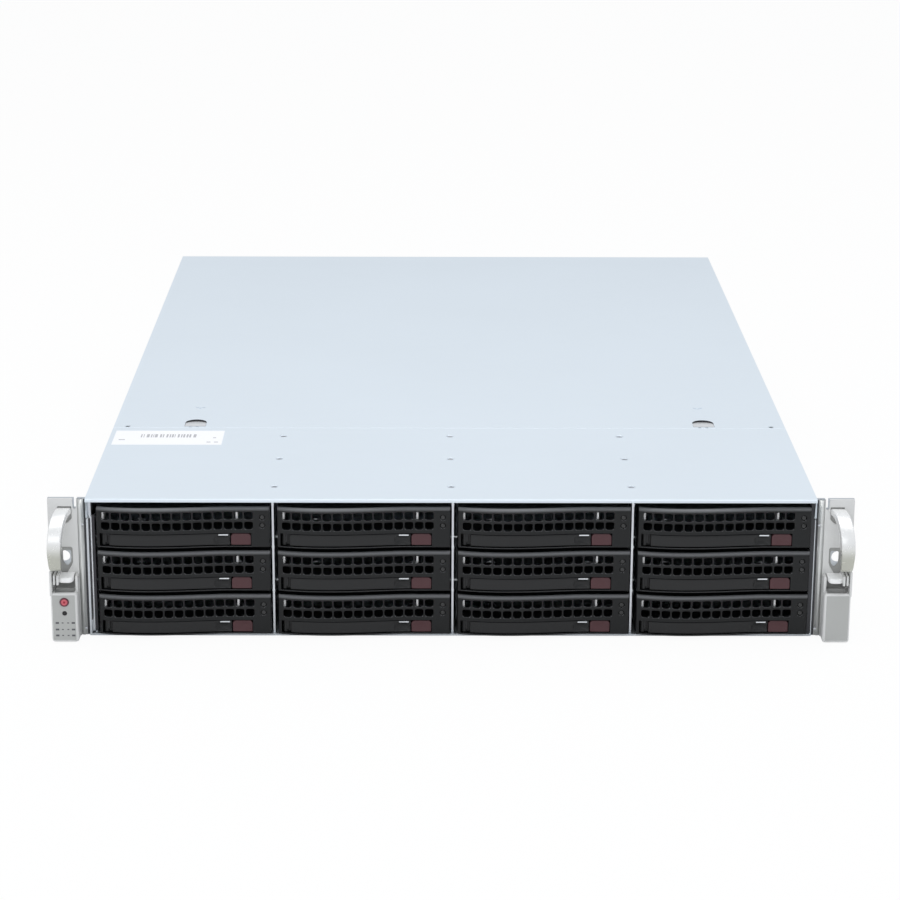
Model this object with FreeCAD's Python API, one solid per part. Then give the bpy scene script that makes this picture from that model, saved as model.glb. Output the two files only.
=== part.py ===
"""2U rack server with twelve front drive bays.

Millimetres, +X to the right seen from the front, +Y to the rear, +Z up.
The origin is on the underside of the floor, at the middle of the front, in the
plane of the ears' front faces.  Each piece is written to its own STEP file.
"""
import FreeCAD, Part
import math
import os

V = FreeCAD.Vector
UP = V(0, 0, 1)
REAR = V(0, 1, 0)
RIGHT = V(1, 0, 0)

# ---------------------------------------------------------------- driving sizes
# chassis
BODY_W = 437.0           # outside width between the ears
BODY_D = 647.0           # front plane to the rear wall
BODY_H = 88.0            # underside of the floor to the top of the covers
SHEET = 1.2              # sheet steel of the chassis and covers
GAP = 0.4                # clearance between pieces that slide or lift off
SKIRT_H = 12.0           # height of the covers' side flanges
RIM_W = 3.0              # inward flange that the covers rest on
SEAM_Y = 146.0           # joint between the fixed and the sliding cover
COVER_OVERHANG = 3.5     # front cover past the ears' front plane
LIP_H = 2.0              # hem on the front cover's edge
COVER_TRAVEL = 12.7      # slide that frees the rear cover

# ears and handles
PANEL_W = 482.6          # 19 inch panel width over both ears
EAR_H = 87.0
EAR_T = 2.0              # steel flange
FACE_T = 1.5             # moulded face plate in front of the flange
SCREW_SPACING = 465.1    # 19 inch rack screw centres
SCREW_Z = 50.4
SCREW_R = 3.55
SCREW_RECESS_W = 10.0
SCREW_RECESS_H = 16.0
NOTCH_W = 2.1            # open slot between face plate and inboard strip
NOTCH_H = 6.0
FACE_INSET = 5.1         # face plate's inboard edge to the chassis side
HANDLE_REACH = 23.0      # front of the grip to the ear plane
HANDLE_TOP_Z = 83.0
HANDLE_MID_Z = 63.0
HANDLE_FOOT_Z = 42.0
HANDLE_FOOT_REACH = 16.5
HANDLE_T = 4.2           # strap thickness
HANDLE_W_ROOT = 7.4
HANDLE_W_GRIP = 8.6
HANDLE_LEAN = 4.6        # the grip stands further out than its root
NOSE_Z0 = 36.5
NOSE_Z1 = 43.0
BOX_REACH = 12.0         # control box in front of the ear plane
BOX_Z1 = 30.5
BOX_CORNER_R = 2.0
POWER_Z = 25.7
POWER_R = 2.6
RESET_Z = 18.6
RESET_R = 1.3
PRESS_GAP = 0.3          # round the push buttons
POWER_TRAVEL = 1.0
RESET_TRAVEL = 0.6

# drive cage
COLS = 4
ROWS = 3
CABLE_GAP = 1.8          # room for the panel cable beside the cage
CAGE_PLATE_T = 1.0
DIVIDER_T = 1.2
CAGE_FRONT_Y = 3.5
CAGE_Z1 = 84.0
ROW_Z0 = 2.0             # underside of the lowest bezels
ROW_HEADROOM = 2.9       # from the top row's pitch to the top of the covers
ROW_GAP = 2.5            # between one bezel and the next above it
LEDGE_T = 1.0
LEDGE_W = 2.3            # the tray's sides stand on it, clear of the drive
LEDGE_Y0 = 20.0
TRAY_END_Y = 172.0
CAGE_BEHIND_TRAY = 8.0

# carrier: bezel, lever and release button
BEZEL_LEFT_GAP = 3.1
BEZEL_RIGHT_GAP = 0.9
BEZEL_END_Y = -3.0       # front of the bezel at its two ends
BOW = 3.5                # how far the middle stands in front of the ends
BEZEL_BACK_Y = 16.0
BEZEL_WALL = 1.6
FRONT_WALL = 2.2
GRILLE_COLS = 15
COLS_PER_FACET = 5       # the bow is a run of flats that change at a bar
GRILLE_LEFT = 2.2        # bezel edge to the first hole
GRILLE_RIGHT = 10.0      # last hole to the bezel's right edge
HOLE_BAR = 0.85          # bar between two holes
HOLE_H = 4.9
GRILLE_RIB = 1.3         # rib behind the bars that parts the two rows
GRILLE_TOP = 2.8         # bezel top to the upper row
POCKET_LEFT = 1.1
POCKET_RIGHT = 11.0
POCKET_Z0 = 0.9
POCKET_H = 8.2
POCKET_DEPTH = 9.5
LEVER_INSET = 0.6
LEVER_T = 4.2
LEVER_GAP = 0.5
KNUCKLE_R = 2.4
KNUCKLE_FIT = 0.06       # radial running clearance in the moulded cradle
BUTTON_W = 11.2
BUTTON_DEPTH = 5.5
BUTTON_TRAVEL = 2.0
SCOOP_W = 10.0
SCOOP_DEEP = 1.8
TRAY_SHEET = 0.8
TRAY_SIDE_GAP = 1.5      # tray to the cage on each side
TRAY_H = 19.0

# fans and backplane
BACKPLANE_T = 2.4
FAN_SIZE = 80.0
FAN_DEPTH = 38.0
FAN_PITCH = 142.0
FAN_BEHIND_PLANE = 14.0
FAN_BORE_R = 38.2
FAN_TIP_GAP = 1.0
HUB_R = 16.5             # across the flats of the hub
BLADES = 5
BLADE_T = 1.6
BLADE_CHORD = 30.0
BLADE_PITCH = 38.0
MOTOR_HALF = 13.0
MOTOR_T = 3.0
MOTOR_GAP = 1.0
STRUT_W = 4.0

# main board
BOARD_W = 305.0
BOARD_L = 330.0
BOARD_T = 1.6
STANDOFF_H = 6.5
BOARD_LEFT_GAP = 5.0
BOARD_REAR_GAP = 9.0
SINK_W = 88.0
SINK_L = 106.0
SINK_H = 60.0
SINK_BASE = 6.0
SINK_BESIDE_DIMM = 5.0
FINS = 11
FIN_T = 1.0
DIMM_L = 133.0
DIMM_H = 30.0
DIMM_PITCH = 9.5
DIMMS_PER_CPU = 6

# expansion slots and rear panel
SLOTS = 7
SLOT_PITCH = 20.32
SLOT_W = 18.4
SLOT_OPEN_W = 14.0
SLOT_Z0 = 22.0
SLOT_Z1 = 80.0
SLOT_LEFT = 12.0
IO_W = 158.75
IO_H = 44.45
IO_Z0 = 9.6
IO_PAST_BOARD = 6.0      # rear window beyond the board's right edge
IO_PORTS = ((31, 13, 14), (16, 14, 52), (16, 27, 74), (18, 30, 100))   # width, height, start

# power supplies
PSU_W = 76.0
PSU_H = 39.6
PSU_L = 336.0
PSU_GAP = 0.5
GRIP_REACH = 22.0
GRIP_W = 34.0
GRIP_BAR = 4.0
GRIP_EDGE = 3.0          # supply's left side to the grip
INLET_W = 24.0
INLET_H = 19.0
INLET_DEEP = 15.0
INLET_EDGE = 5.0         # supply's right side to the inlet
CASING = 1.2             # wall of a supply's casing
LATCH_W = 9.0
LATCH_REACH = 14.0
LATCH_TRAVEL = 3.0
LATCH_T = 3.0
LATCH_GAP = 1.0

# cover release tabs
TAB_X = 165.8
TAB_R = 6.75
TAB_FRONT_Y = 150.0
TAB_STRAIGHT = 8.0
TAB_GAP = 0.5
TAB_TRAVEL = 2.5
TAB_T = 3.0

# ------------------------------------------------------------- worked-out sizes
HALF_W = BODY_W / 2
WALL_IN = HALF_W - SHEET
RIM_TOP = BODY_H - SHEET - GAP
JOG = SHEET + GAP                     # walls step in so that the skirts lie flush
JOG_Z = BODY_H - SKIRT_H - GAP - JOG
UPPER_IN = HALF_W - JOG - SHEET       # inner face of the wall above the joggle
EAR_OUT = PANEL_W / 2
EAR_Y0 = FACE_T
EAR_Y1 = FACE_T + EAR_T
FACE_IN = HALF_W + FACE_INSET

BAY_W = (2 * WALL_IN - CABLE_GAP - 2 * CAGE_PLATE_T - (COLS - 1) * DIVIDER_T) / COLS
BAY_PITCH = BAY_W + DIVIDER_T
CAGE_X1 = WALL_IN
CAGE_X0 = -WALL_IN + CABLE_GAP
ROW_PITCH = (BODY_H - ROW_Z0 - ROW_HEADROOM) / ROWS
CAGE_END_Y = TRAY_END_Y + CAGE_BEHIND_TRAY

BEZEL_W = BAY_W - BEZEL_LEFT_GAP - BEZEL_RIGHT_GAP
BEZEL_H = ROW_PITCH - ROW_GAP
BEZEL_HALF = BEZEL_W / 2
BOW_R = (BEZEL_HALF ** 2 + BOW ** 2) / (2 * BOW)
BOW_CENTRE_Y = BEZEL_END_Y - BOW + BOW_R
HOLE_PITCH = (BEZEL_W - GRILLE_LEFT - GRILLE_RIGHT + HOLE_BAR) / GRILLE_COLS
POCKET_X0 = -BEZEL_HALF + POCKET_LEFT
POCKET_X1 = BEZEL_HALF - POCKET_RIGHT
PIVOT_X = POCKET_X0 + KNUCKLE_R + KNUCKLE_FIT
BUTTON_X1 = POCKET_X1 - GAP
BUTTON_X0 = BUTTON_X1 - BUTTON_W
LEVER_X1 = BUTTON_X0 - GAP
LEVER_Z0 = POCKET_Z0 + LEVER_GAP
LEVER_Z1 = POCKET_Z0 + POCKET_H - LEVER_GAP
TRAY_HALF = BAY_W / 2 - TRAY_SIDE_GAP
TRAY_SHIFT = (BEZEL_RIGHT_GAP - BEZEL_LEFT_GAP) / 2

PLANE_Y = CAGE_END_Y + GAP
FAN_Y0 = PLANE_Y + BACKPLANE_T + FAN_BEHIND_PLANE
FAN_Z = SHEET + FAN_SIZE / 2

PSU_X1 = UPPER_IN - PSU_GAP
PSU_X0 = PSU_X1 - PSU_W
PSU_WALL_X1 = PSU_X0 - PSU_GAP
PSU_WALL_X0 = PSU_WALL_X1 - SHEET
PSU_Y0 = BODY_D - PSU_L
PSU_Z0 = (SHEET + PSU_GAP, SHEET + PSU_GAP + PSU_H + 2 * PSU_GAP + SHEET)
SHELF_Z0 = SHEET + 2 * PSU_GAP + PSU_H

BOARD_X0 = -WALL_IN + BOARD_LEFT_GAP
BOARD_Y1 = BODY_D - BOARD_REAR_GAP
BOARD_Y0 = BOARD_Y1 - BOARD_L
BOARD_Z0 = SHEET + STANDOFF_H
BOARD_TOP = BOARD_Z0 + BOARD_T
SLOT_X0 = -WALL_IN + SLOT_LEFT
IO_X1 = BOARD_X0 + BOARD_W + IO_PAST_BOARD


# ----------------------------------------------------------------------- helpers
def block(x0, x1, y0, y1, z0, z1):
    return Part.makeBox(x1 - x0, y1 - y0, z1 - z0, V(x0, y0, z0))


def rod(radius, length, base, direction):
    return Part.makeCylinder(radius, length, base, direction)


def face_of(points):
    return Part.Face(Part.makePolygon(points + [points[0]]))


def prism_along_y(outline, y0, y1):
    """Extrude an X-Z outline from y0 to y1."""
    return face_of([V(x, y0, z) for x, z in outline]).extrude(V(0, y1 - y0, 0))


def prism_up(outline, z0, z1):
    """Extrude an X-Y outline from z0 to z1."""
    return face_of([V(x, y, z0) for x, y in outline]).extrude(V(0, 0, z1 - z0))


def joined(shapes):
    return shapes[0].multiFuse(shapes[1:]).removeSplitter()


def mirrored(shape):
    return shape.mirror(V(0, 0, 0), RIGHT)


def moved(shape, x, y, z):
    copy = shape.copy()
    copy.translate(V(x, y, z))
    return copy


def save(node, shape):
    os.makedirs("parts", exist_ok=True)
    shape.exportStep("parts/" + node + ".step")


# ----------------------------------------------------------------------- chassis
def cover_rail():
    """Joggled strip on top of a side wall: it sets in for the skirts and ends in the rim."""
    section = [
        (HALF_W, JOG_Z), (HALF_W - JOG, JOG_Z + JOG), (HALF_W - JOG, RIM_TOP),
        (HALF_W - JOG - RIM_W, RIM_TOP), (HALF_W - JOG - RIM_W, RIM_TOP - SHEET),
        (UPPER_IN, RIM_TOP - SHEET), (UPPER_IN, JOG_Z + JOG), (WALL_IN, JOG_Z),
    ]
    return prism_along_y(section, 0, BODY_D)


def ear_flange():
    flange = block(HALF_W, EAR_OUT, EAR_Y0, EAR_Y1, 0, EAR_H)
    step = block(HALF_W, HALF_W + GAP, EAR_Y0, EAR_Y1, JOG_Z, EAR_H)
    notch = block(FACE_IN, FACE_IN + NOTCH_W, EAR_Y0, EAR_Y1, EAR_H - NOTCH_H, EAR_H)
    screw = rod(SCREW_R, EAR_T, V(SCREW_SPACING / 2, EAR_Y0, SCREW_Z), REAR)
    return flange.cut([step, notch, screw])


def rear_windows():
    """Each opening of the rear wall as left, right, bottom and top."""
    step_x = UPPER_IN - GAP
    rim_x = HALF_W - JOG - RIM_W
    windows = [(step_x, WALL_IN, JOG_Z, RIM_TOP), (rim_x, step_x, RIM_TOP - SHEET, RIM_TOP)]
    windows += [(-right, -left, bottom, top) for left, right, bottom, top in windows]
    for z in PSU_Z0:
        windows.append((PSU_X0 - PSU_GAP, PSU_X1 + PSU_GAP, z - PSU_GAP, z + PSU_H + PSU_GAP))
    windows.append((IO_X1 - IO_W, IO_X1, IO_Z0, IO_Z0 + IO_H))
    side = (SLOT_PITCH - SLOT_OPEN_W) / 2
    for slot in range(SLOTS):
        x = SLOT_X0 + slot * SLOT_PITCH + side
        windows.append((x, x + SLOT_OPEN_W, SLOT_Z0, SLOT_Z1))
    return windows


def rear_wall():
    """Rear wall in upright strips, so that every window stays open between them."""
    windows = rear_windows()
    edges = sorted({-WALL_IN, WALL_IN}.union(*[window[:2] for window in windows]))
    pieces = []
    for x0, x1 in zip(edges, edges[1:]):
        z = SHEET
        for left, right, bottom, top in sorted(windows, key=lambda window: window[2]):
            if left <= x0 and x1 <= right:
                if bottom > z:
                    pieces.append(block(x0, x1, BODY_D - SHEET, BODY_D, z, bottom))
                z = top
        if z < RIM_TOP:
            pieces.append(block(x0, x1, BODY_D - SHEET, BODY_D, z, RIM_TOP))
    return pieces


def psu_housing():
    """Upright wall and shelf that carry the two power supplies."""
    upright = block(PSU_WALL_X0, PSU_WALL_X1, PSU_Y0, BODY_D - SHEET, SHEET, RIM_TOP - SHEET)
    shelf = block(PSU_WALL_X1, WALL_IN, PSU_Y0, BODY_D - SHEET, SHELF_Z0, SHELF_Z0 + SHEET)
    return [upright, shelf]


def chassis_tub():
    """Floor pan with the plates and rails that are spot-welded and riveted to it."""
    floor = block(-HALF_W, HALF_W, 0, BODY_D, 0, SHEET)
    side = block(WALL_IN, HALF_W, 0, BODY_D, SHEET, JOG_Z)
    pairs = [side, cover_rail(), ear_flange()]
    pieces = [floor] + pairs + [mirrored(piece) for piece in pairs]
    return Part.makeCompound(pieces + rear_wall() + psu_housing())


def front_top_cover():
    plate = block(-HALF_W, HALF_W, -COVER_OVERHANG, SEAM_Y, BODY_H - SHEET, BODY_H)
    hem = block(-HALF_W, HALF_W, -COVER_OVERHANG, -COVER_OVERHANG + SHEET, BODY_H - LIP_H, BODY_H)
    skirt = block(HALF_W - SHEET, HALF_W, EAR_Y1 + GAP, SEAM_Y, BODY_H - SKIRT_H, BODY_H)
    return joined([plate, hem, skirt, mirrored(skirt)])


def tab_outline(grow):
    """Plan of a release tab: straight front, round rear."""
    r = TAB_R + grow
    y0 = TAB_FRONT_Y - grow
    y1 = TAB_FRONT_Y + TAB_STRAIGHT
    arc = Part.Arc(V(r, y1, 0), V(0, y1 + r, 0), V(-r, y1, 0)).toShape()
    sides = Part.makePolygon([V(-r, y1, 0), V(-r, y0, 0), V(r, y0, 0), V(r, y1, 0)])
    return Part.Face(Part.Wire([arc] + sides.Edges))


def rear_top_cover():
    y0 = SEAM_Y + GAP
    y1 = BODY_D
    plate = block(-HALF_W, HALF_W, y0, y1, BODY_H - SHEET, BODY_H)
    skirt = block(HALF_W - SHEET, HALF_W, y0, y1, BODY_H - SKIRT_H, BODY_H)
    cover = joined([plate, skirt, mirrored(skirt)])
    opening = tab_outline(TAB_GAP).extrude(V(0, 0, SHEET))
    return cover.cut([moved(opening, side * TAB_X, 0, BODY_H - SHEET) for side in (-1, 1)])


def cover_release(side):
    """Round-ended thumb tab on a leaf under the cover's skin."""
    top = tab_outline(0).extrude(V(0, 0, TAB_T))
    return moved(top, side * TAB_X, 0, BODY_H - TAB_T)


# ------------------------------------------------------------- ears and handles
def handle_strap():
    """Bow grip: a bent band in the Y-Z plane, trimmed to its leaning width."""
    def band_arc(y0, z0, y1, z1, reach_y, reach_z):
        middle = V(0, reach_y, reach_z)
        return Part.Arc(V(0, y0, z0), middle, V(0, y1, z1)).toShape()

    def bend(inset):
        reach = HANDLE_REACH - inset
        drop = HANDLE_TOP_Z - HANDLE_MID_Z - inset
        r_top = (reach ** 2 + drop ** 2) / (2 * reach)
        z = HANDLE_MID_Z + drop * 0.55
        y = -reach + r_top - math.sqrt(r_top ** 2 - (z - HANDLE_MID_Z) ** 2)
        top = band_arc(0, HANDLE_MID_Z + drop, -reach, HANDLE_MID_Z, y, z)
        back = reach - (HANDLE_FOOT_REACH - inset)
        fall = HANDLE_MID_Z - HANDLE_FOOT_Z
        r_low = (back ** 2 + fall ** 2) / (2 * back)
        z = HANDLE_MID_Z - fall * 0.5
        y = -reach + r_low - math.sqrt(r_low ** 2 - (z - HANDLE_MID_Z) ** 2)
        low = band_arc(-reach, HANDLE_MID_Z, -reach + back, HANDLE_FOOT_Z, y, z)
        return [top, low]

    outer = bend(0)
    inner = bend(HANDLE_T)
    head = Part.makePolygon([inner[0].Vertexes[0].Point, outer[0].Vertexes[0].Point])
    foot = Part.makePolygon([outer[1].Vertexes[-1].Point, inner[1].Vertexes[-1].Point])
    edges = Part.sortEdges(outer + inner + head.Edges + foot.Edges)[0]
    band = Part.Face(Part.Wire(edges)).extrude(V(EAR_OUT, 0, 0))
    grip_out = EAR_OUT - 1.8
    root_in = grip_out - HANDLE_W_GRIP + (HANDLE_W_GRIP - HANDLE_W_ROOT) / 2 - HANDLE_LEAN
    plan = [
        (root_in, 0), (root_in + HANDLE_W_ROOT, 0), (grip_out, -HANDLE_REACH),
        (grip_out, -HANDLE_REACH - 1), (grip_out - HANDLE_W_GRIP, -HANDLE_REACH - 1),
        (grip_out - HANDLE_W_GRIP, -HANDLE_REACH),
    ]
    return band.common(prism_up(plan, 0, EAR_H))


def handle_housing():
    """Right-hand face plate with its bow grip, nose and lower box, as one moulding."""
    inner_x = FACE_IN
    plate = block(inner_x, EAR_OUT, 0, FACE_T, 0, EAR_H)
    strip = block(HALF_W + GAP, inner_x, 0, FACE_T, 0, EAR_H)
    notch = block(inner_x, inner_x + NOTCH_W, 0, FACE_T, EAR_H - NOTCH_H, EAR_H)
    box = block(inner_x, EAR_OUT - 1.4, -BOX_REACH, 0, 0, BOX_Z1)
    upright = [e for e in box.Edges if abs(e.tangentAt(e.FirstParameter).z) > 0.99
               and e.Vertexes[0].Point.y < -1]
    box = box.makeFillet(BOX_CORNER_R, upright)
    nose_r = (NOSE_Z1 - NOSE_Z0) / 2
    nose_x1 = EAR_OUT - 1.8
    nose = block(inner_x + 1, nose_x1, nose_r - HANDLE_FOOT_REACH, 0, NOSE_Z0, NOSE_Z1)
    tip = rod(nose_r, nose_x1 - inner_x - 1,
              V(inner_x + 1, nose_r - HANDLE_FOOT_REACH, NOSE_Z0 + nose_r), RIGHT)
    cheek = block(EAR_OUT - 3.2, EAR_OUT - 1.8, -BOX_REACH + 2, 0, BOX_Z1, NOSE_Z0 + nose_r)
    body = joined([plate, strip, box, nose, tip, cheek, handle_strap()])
    half_slot = (SCREW_RECESS_H - SCREW_RECESS_W) / 2
    x = SCREW_SPACING / 2
    recess = block(x - SCREW_RECESS_W / 2, x + SCREW_RECESS_W / 2, 0, FACE_T,
                   SCREW_Z - half_slot, SCREW_Z + half_slot)
    ends = [rod(SCREW_RECESS_W / 2, FACE_T, V(x, 0, SCREW_Z + s * half_slot), REAR)
            for s in (-1, 1)]
    return body.cut([notch, recess] + ends)


BUTTON_AXIS_X = -(FACE_IN + EAR_OUT - 1.4) / 2


def left_handle_housing():
    """Mirror of the right one, with the two push-button bores in its control box."""
    body = mirrored(handle_housing())
    bores = []
    for radius, z in ((POWER_R, POWER_Z), (RESET_R, RESET_Z)):
        bores.append(rod(radius + PRESS_GAP, 9.0, V(BUTTON_AXIS_X, -BOX_REACH, z), REAR))
    return body.cut(bores)


def push_button(radius, z, travel, proud):
    length = 9.0 + proud - travel - PRESS_GAP
    return rod(radius, length, V(BUTTON_AXIS_X, -BOX_REACH - proud, z), REAR)


# --------------------------------------------------------------------- drive cage
def bay_left(col):
    """X of the clear space's left side in a column."""
    return CAGE_X0 + CAGE_PLATE_T + col * BAY_PITCH


def row_bottom(row):
    return ROW_Z0 + row * ROW_PITCH


def runners(x0):
    """Strips that carry the trays of the upper rows, from x0 to its right."""
    strips = []
    for row in range(1, ROWS):
        z1 = row_bottom(row) - GAP
        strips.append(block(x0, x0 + LEDGE_W, LEDGE_Y0, CAGE_END_Y, z1 - LEDGE_T, z1))
    return strips


def divider_web(col):
    """Upright plate left of a column; the last one closes the cage on the right."""
    if col == 0:
        return block(CAGE_X0, bay_left(0), CAGE_FRONT_Y, CAGE_END_Y, SHEET, JOG_Z - GAP)
    left = bay_left(col) - DIVIDER_T
    if col == COLS:
        return block(left, left + CAGE_PLATE_T, CAGE_FRONT_Y, CAGE_END_Y, SHEET, JOG_Z - GAP)
    return block(left, bay_left(col), CAGE_FRONT_Y, CAGE_END_Y, SHEET, CAGE_Z1)


def drive_bay_dividers():
    """Three dividers and two side plates, with the runner strips welded to them."""
    pieces = [divider_web(col) for col in range(COLS + 1)]
    for col in range(COLS):
        pieces += runners(bay_left(col))
        pieces += runners(bay_left(col) + BAY_W - LEDGE_W)
    return Part.makeCompound(pieces)


def drive_backplane():
    """Upright board with a connector per bay and a tall air window per column."""
    board = block(CAGE_X0 + 1.0, UPPER_IN - GAP, PLANE_Y, PLANE_Y + BACKPLANE_T, SHEET, CAGE_Z1)
    windows = []
    sockets = []
    for col in range(COLS):
        left = bay_left(col)
        windows.append(block(left + 50, left + BAY_W - 8, PLANE_Y, PLANE_Y + BACKPLANE_T,
                             SHEET + 8, CAGE_Z1 - 8))
        for row in range(ROWS):
            z = row_bottom(row)
            sockets.append(block(left + 8, left + 42, PLANE_Y - CAGE_BEHIND_TRAY + 1, PLANE_Y,
                                 z + 4, z + 11))
    return Part.makeCompound([board.cut(windows)] + sockets)


# ----------------------------------------------------------------------- carriers
def hole_left(col):
    return -BEZEL_HALF + GRILLE_LEFT + col * HOLE_PITCH


def bow_line(x0, x1, inset):
    """Plan points along the bowed front from x0 to x1, moved back by inset."""
    stations = [hole_left(col) - HOLE_BAR / 2
                for col in range(COLS_PER_FACET, GRILLE_COLS + 1, COLS_PER_FACET)]
    xs = [x0] + [x for x in stations if x0 + 1 < x < x1 - 1] + [x1]
    return [(x, BOW_CENTRE_Y + inset - math.sqrt(BOW_R ** 2 - x ** 2)) for x in xs]


def bowed(x0, x1, inset, depth, z0, z1):
    """Solid of even depth that follows the bezel's front."""
    back = bow_line(x0, x1, inset + depth)
    return prism_up(bow_line(x0, x1, inset) + back[::-1], z0, z1)


def bowed_to(x0, x1, inset, back_y, z0, z1):
    """Solid from the bowed front to a flat back."""
    return prism_up(bow_line(x0, x1, inset) + [(x1, back_y), (x0, back_y)], z0, z1)


def pivot_point(z):
    """Axis of the lever's knuckle at height z."""
    front_y = bow_line(PIVOT_X, BEZEL_HALF, 0)[0][1]
    return V(PIVOT_X, front_y + LEVER_INSET + KNUCKLE_R, z)


def lever_pocket():
    """Pocket for lever and button, with the knuckle's cradle at its left end."""
    z0 = POCKET_Z0
    z1 = POCKET_Z0 + POCKET_H
    pivot = pivot_point(z0)
    r = KNUCKLE_R + KNUCKLE_FIT
    main = bowed(PIVOT_X, POCKET_X1, -1, POCKET_DEPTH + 1, z0, z1)
    mouth = block(PIVOT_X - r, PIVOT_X + 1, BEZEL_END_Y - BOW - 1, pivot.y, z0, z1)
    return [main, mouth, rod(r, POCKET_H, pivot, UP)]


def carrier_bezel():
    """Moulded front: bowed face, grille and lever pocket, open at the back."""
    half = BEZEL_HALF
    inner = half - BEZEL_WALL
    shelf_z = POCKET_Z0 + POCKET_H + BEZEL_WALL
    shell = bowed_to(-half, half, 0, BEZEL_BACK_Y, 0, BEZEL_H)
    hollow = bowed_to(-inner, inner, FRONT_WALL, BEZEL_BACK_Y, shelf_z, BEZEL_H - BEZEL_WALL)
    slot_z1 = BEZEL_H - GRILLE_TOP
    slot_z0 = slot_z1 - 2 * HOLE_H - GRILLE_RIB
    slots = [block(hole_left(col), hole_left(col + 1) - HOLE_BAR, BEZEL_END_Y - BOW - 1,
                   BEZEL_END_Y + FRONT_WALL + 1, slot_z0, slot_z1)
             for col in range(GRILLE_COLS)]
    rib = bowed(-inner, hole_left(GRILLE_COLS) + 1, FRONT_WALL, GRILLE_RIB,
                slot_z0 + HOLE_H, slot_z0 + HOLE_H + GRILLE_RIB)
    return joined([shell.cut([hollow] + lever_pocket() + slots), rib])


def carrier_tray():
    """Steel floor and the two side rails that stand on it."""
    z1 = GAP + TRAY_SHEET
    floor = block(-TRAY_HALF, TRAY_HALF, BEZEL_BACK_Y, TRAY_END_Y, GAP, z1)
    rail = block(TRAY_HALF - TRAY_SHEET, TRAY_HALF, BEZEL_BACK_Y, TRAY_END_Y, z1, TRAY_H)
    return [moved(piece, TRAY_SHIFT, 0, 0) for piece in (floor, rail, mirrored(rail))]


def carrier_lever():
    """Latch lever that follows the bow, with its knuckle and a finger ramp at the free end."""
    front = bow_line(PIVOT_X, LEVER_X1 - SCOOP_W, LEVER_INSET)
    tip = bow_line(PIVOT_X, LEVER_X1, LEVER_INSET + SCOOP_DEEP)[-1:]
    back = bow_line(PIVOT_X, LEVER_X1, LEVER_INSET + LEVER_T)
    bar = prism_up(front + tip + back[::-1], LEVER_Z0, LEVER_Z1)
    return joined([bar, rod(KNUCKLE_R, LEVER_Z1 - LEVER_Z0, pivot_point(LEVER_Z0), UP)])


def carrier_button():
    return bowed(BUTTON_X0, BUTTON_X1, LEVER_INSET / 2, BUTTON_DEPTH, LEVER_Z0, LEVER_Z1)


def save_carriers():
    """Twelve alike, numbered by column from the left, top row first."""
    carrier = Part.makeCompound([carrier_bezel()] + carrier_tray())
    lever = carrier_lever()
    button = carrier_button()
    for col in range(COLS):
        x = bay_left(col) + BEZEL_LEFT_GAP + BEZEL_HALF
        for place, row in enumerate(reversed(range(ROWS))):
            number = "%02d" % (col * ROWS + place + 1)
            z = row_bottom(row)
            save("carrier_" + number, moved(carrier, x, 0, z))
            save("lever_" + number, moved(lever, x, 0, z))
            save("button_" + number, moved(button, x, 0, z))


# --------------------------------------------------------------------------- fans
def fan_x(index):
    return (index - 1) * FAN_PITCH


def fan_frame():
    """Square frame, round duct, motor seat on four struts."""
    half = FAN_SIZE / 2
    frame = block(-half, half, 0, FAN_DEPTH, -half, half)
    frame = frame.cut(rod(FAN_BORE_R, FAN_DEPTH, V(0, 0, 0), REAR))
    seat_y = FAN_DEPTH - MOTOR_T
    seat = [block(-half, half, seat_y, FAN_DEPTH, -STRUT_W / 2, STRUT_W / 2),
            block(-STRUT_W / 2, STRUT_W / 2, seat_y, FAN_DEPTH, -half, half),
            block(-MOTOR_HALF, MOTOR_HALF, seat_y, FAN_DEPTH, -MOTOR_HALF, MOTOR_HALF)]
    return joined([frame] + seat)


def fan_frames():
    frames = [moved(fan_frame(), fan_x(i), FAN_Y0, FAN_Z) for i in range(3)]
    return Part.makeCompound(frames)


def fan_rotor():
    """Hub with a flat for each pitched blade."""
    hub_y1 = FAN_DEPTH - MOTOR_T - MOTOR_GAP
    sides = 2 * BLADES
    step = math.pi / BLADES
    corner_r = HUB_R / math.cos(step / 2)
    ring = [V(corner_r * math.sin(k * step), MOTOR_GAP, corner_r * math.cos(k * step))
            for k in range(sides)]
    pieces = [face_of(ring).extrude(V(0, hub_y1 - MOTOR_GAP, 0))]
    half = BLADE_CHORD / 2
    reach = half * math.cos(math.radians(BLADE_PITCH)) + BLADE_T
    tip = math.sqrt((FAN_BORE_R - FAN_TIP_GAP) ** 2 - reach ** 2)
    for index in range(BLADES):
        blade = block(-half, half, -BLADE_T / 2, BLADE_T / 2, HUB_R - BLADE_T, tip)
        blade.rotate(V(0, 0, 0), UP, BLADE_PITCH)
        blade.translate(V(0, (MOTOR_GAP + hub_y1) / 2, 0))
        blade.rotate(V(0, 0, 0), REAR, math.degrees(2 * step * (index + 0.25)))
        pieces.append(blade)
    return joined(pieces)


# --------------------------------------------------------------------- main board
def heatsink_places():
    x0 = memory_left(0) + (DIMMS_PER_CPU - 1) * DIMM_PITCH + 6 + SINK_BESIDE_DIMM
    y = BOARD_Y0 + 26
    return [(x0, y), (memory_left(1) - SINK_BESIDE_DIMM - SINK_W, y)]


def memory_left(cpu):
    """X of the first memory slot of a processor."""
    if cpu == 0:
        return BOARD_X0 + 4
    return BOARD_X0 + BOARD_W - 4 - (DIMMS_PER_CPU - 1) * DIMM_PITCH - 6


def memory_y():
    return BOARD_Y0 + 14


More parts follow.
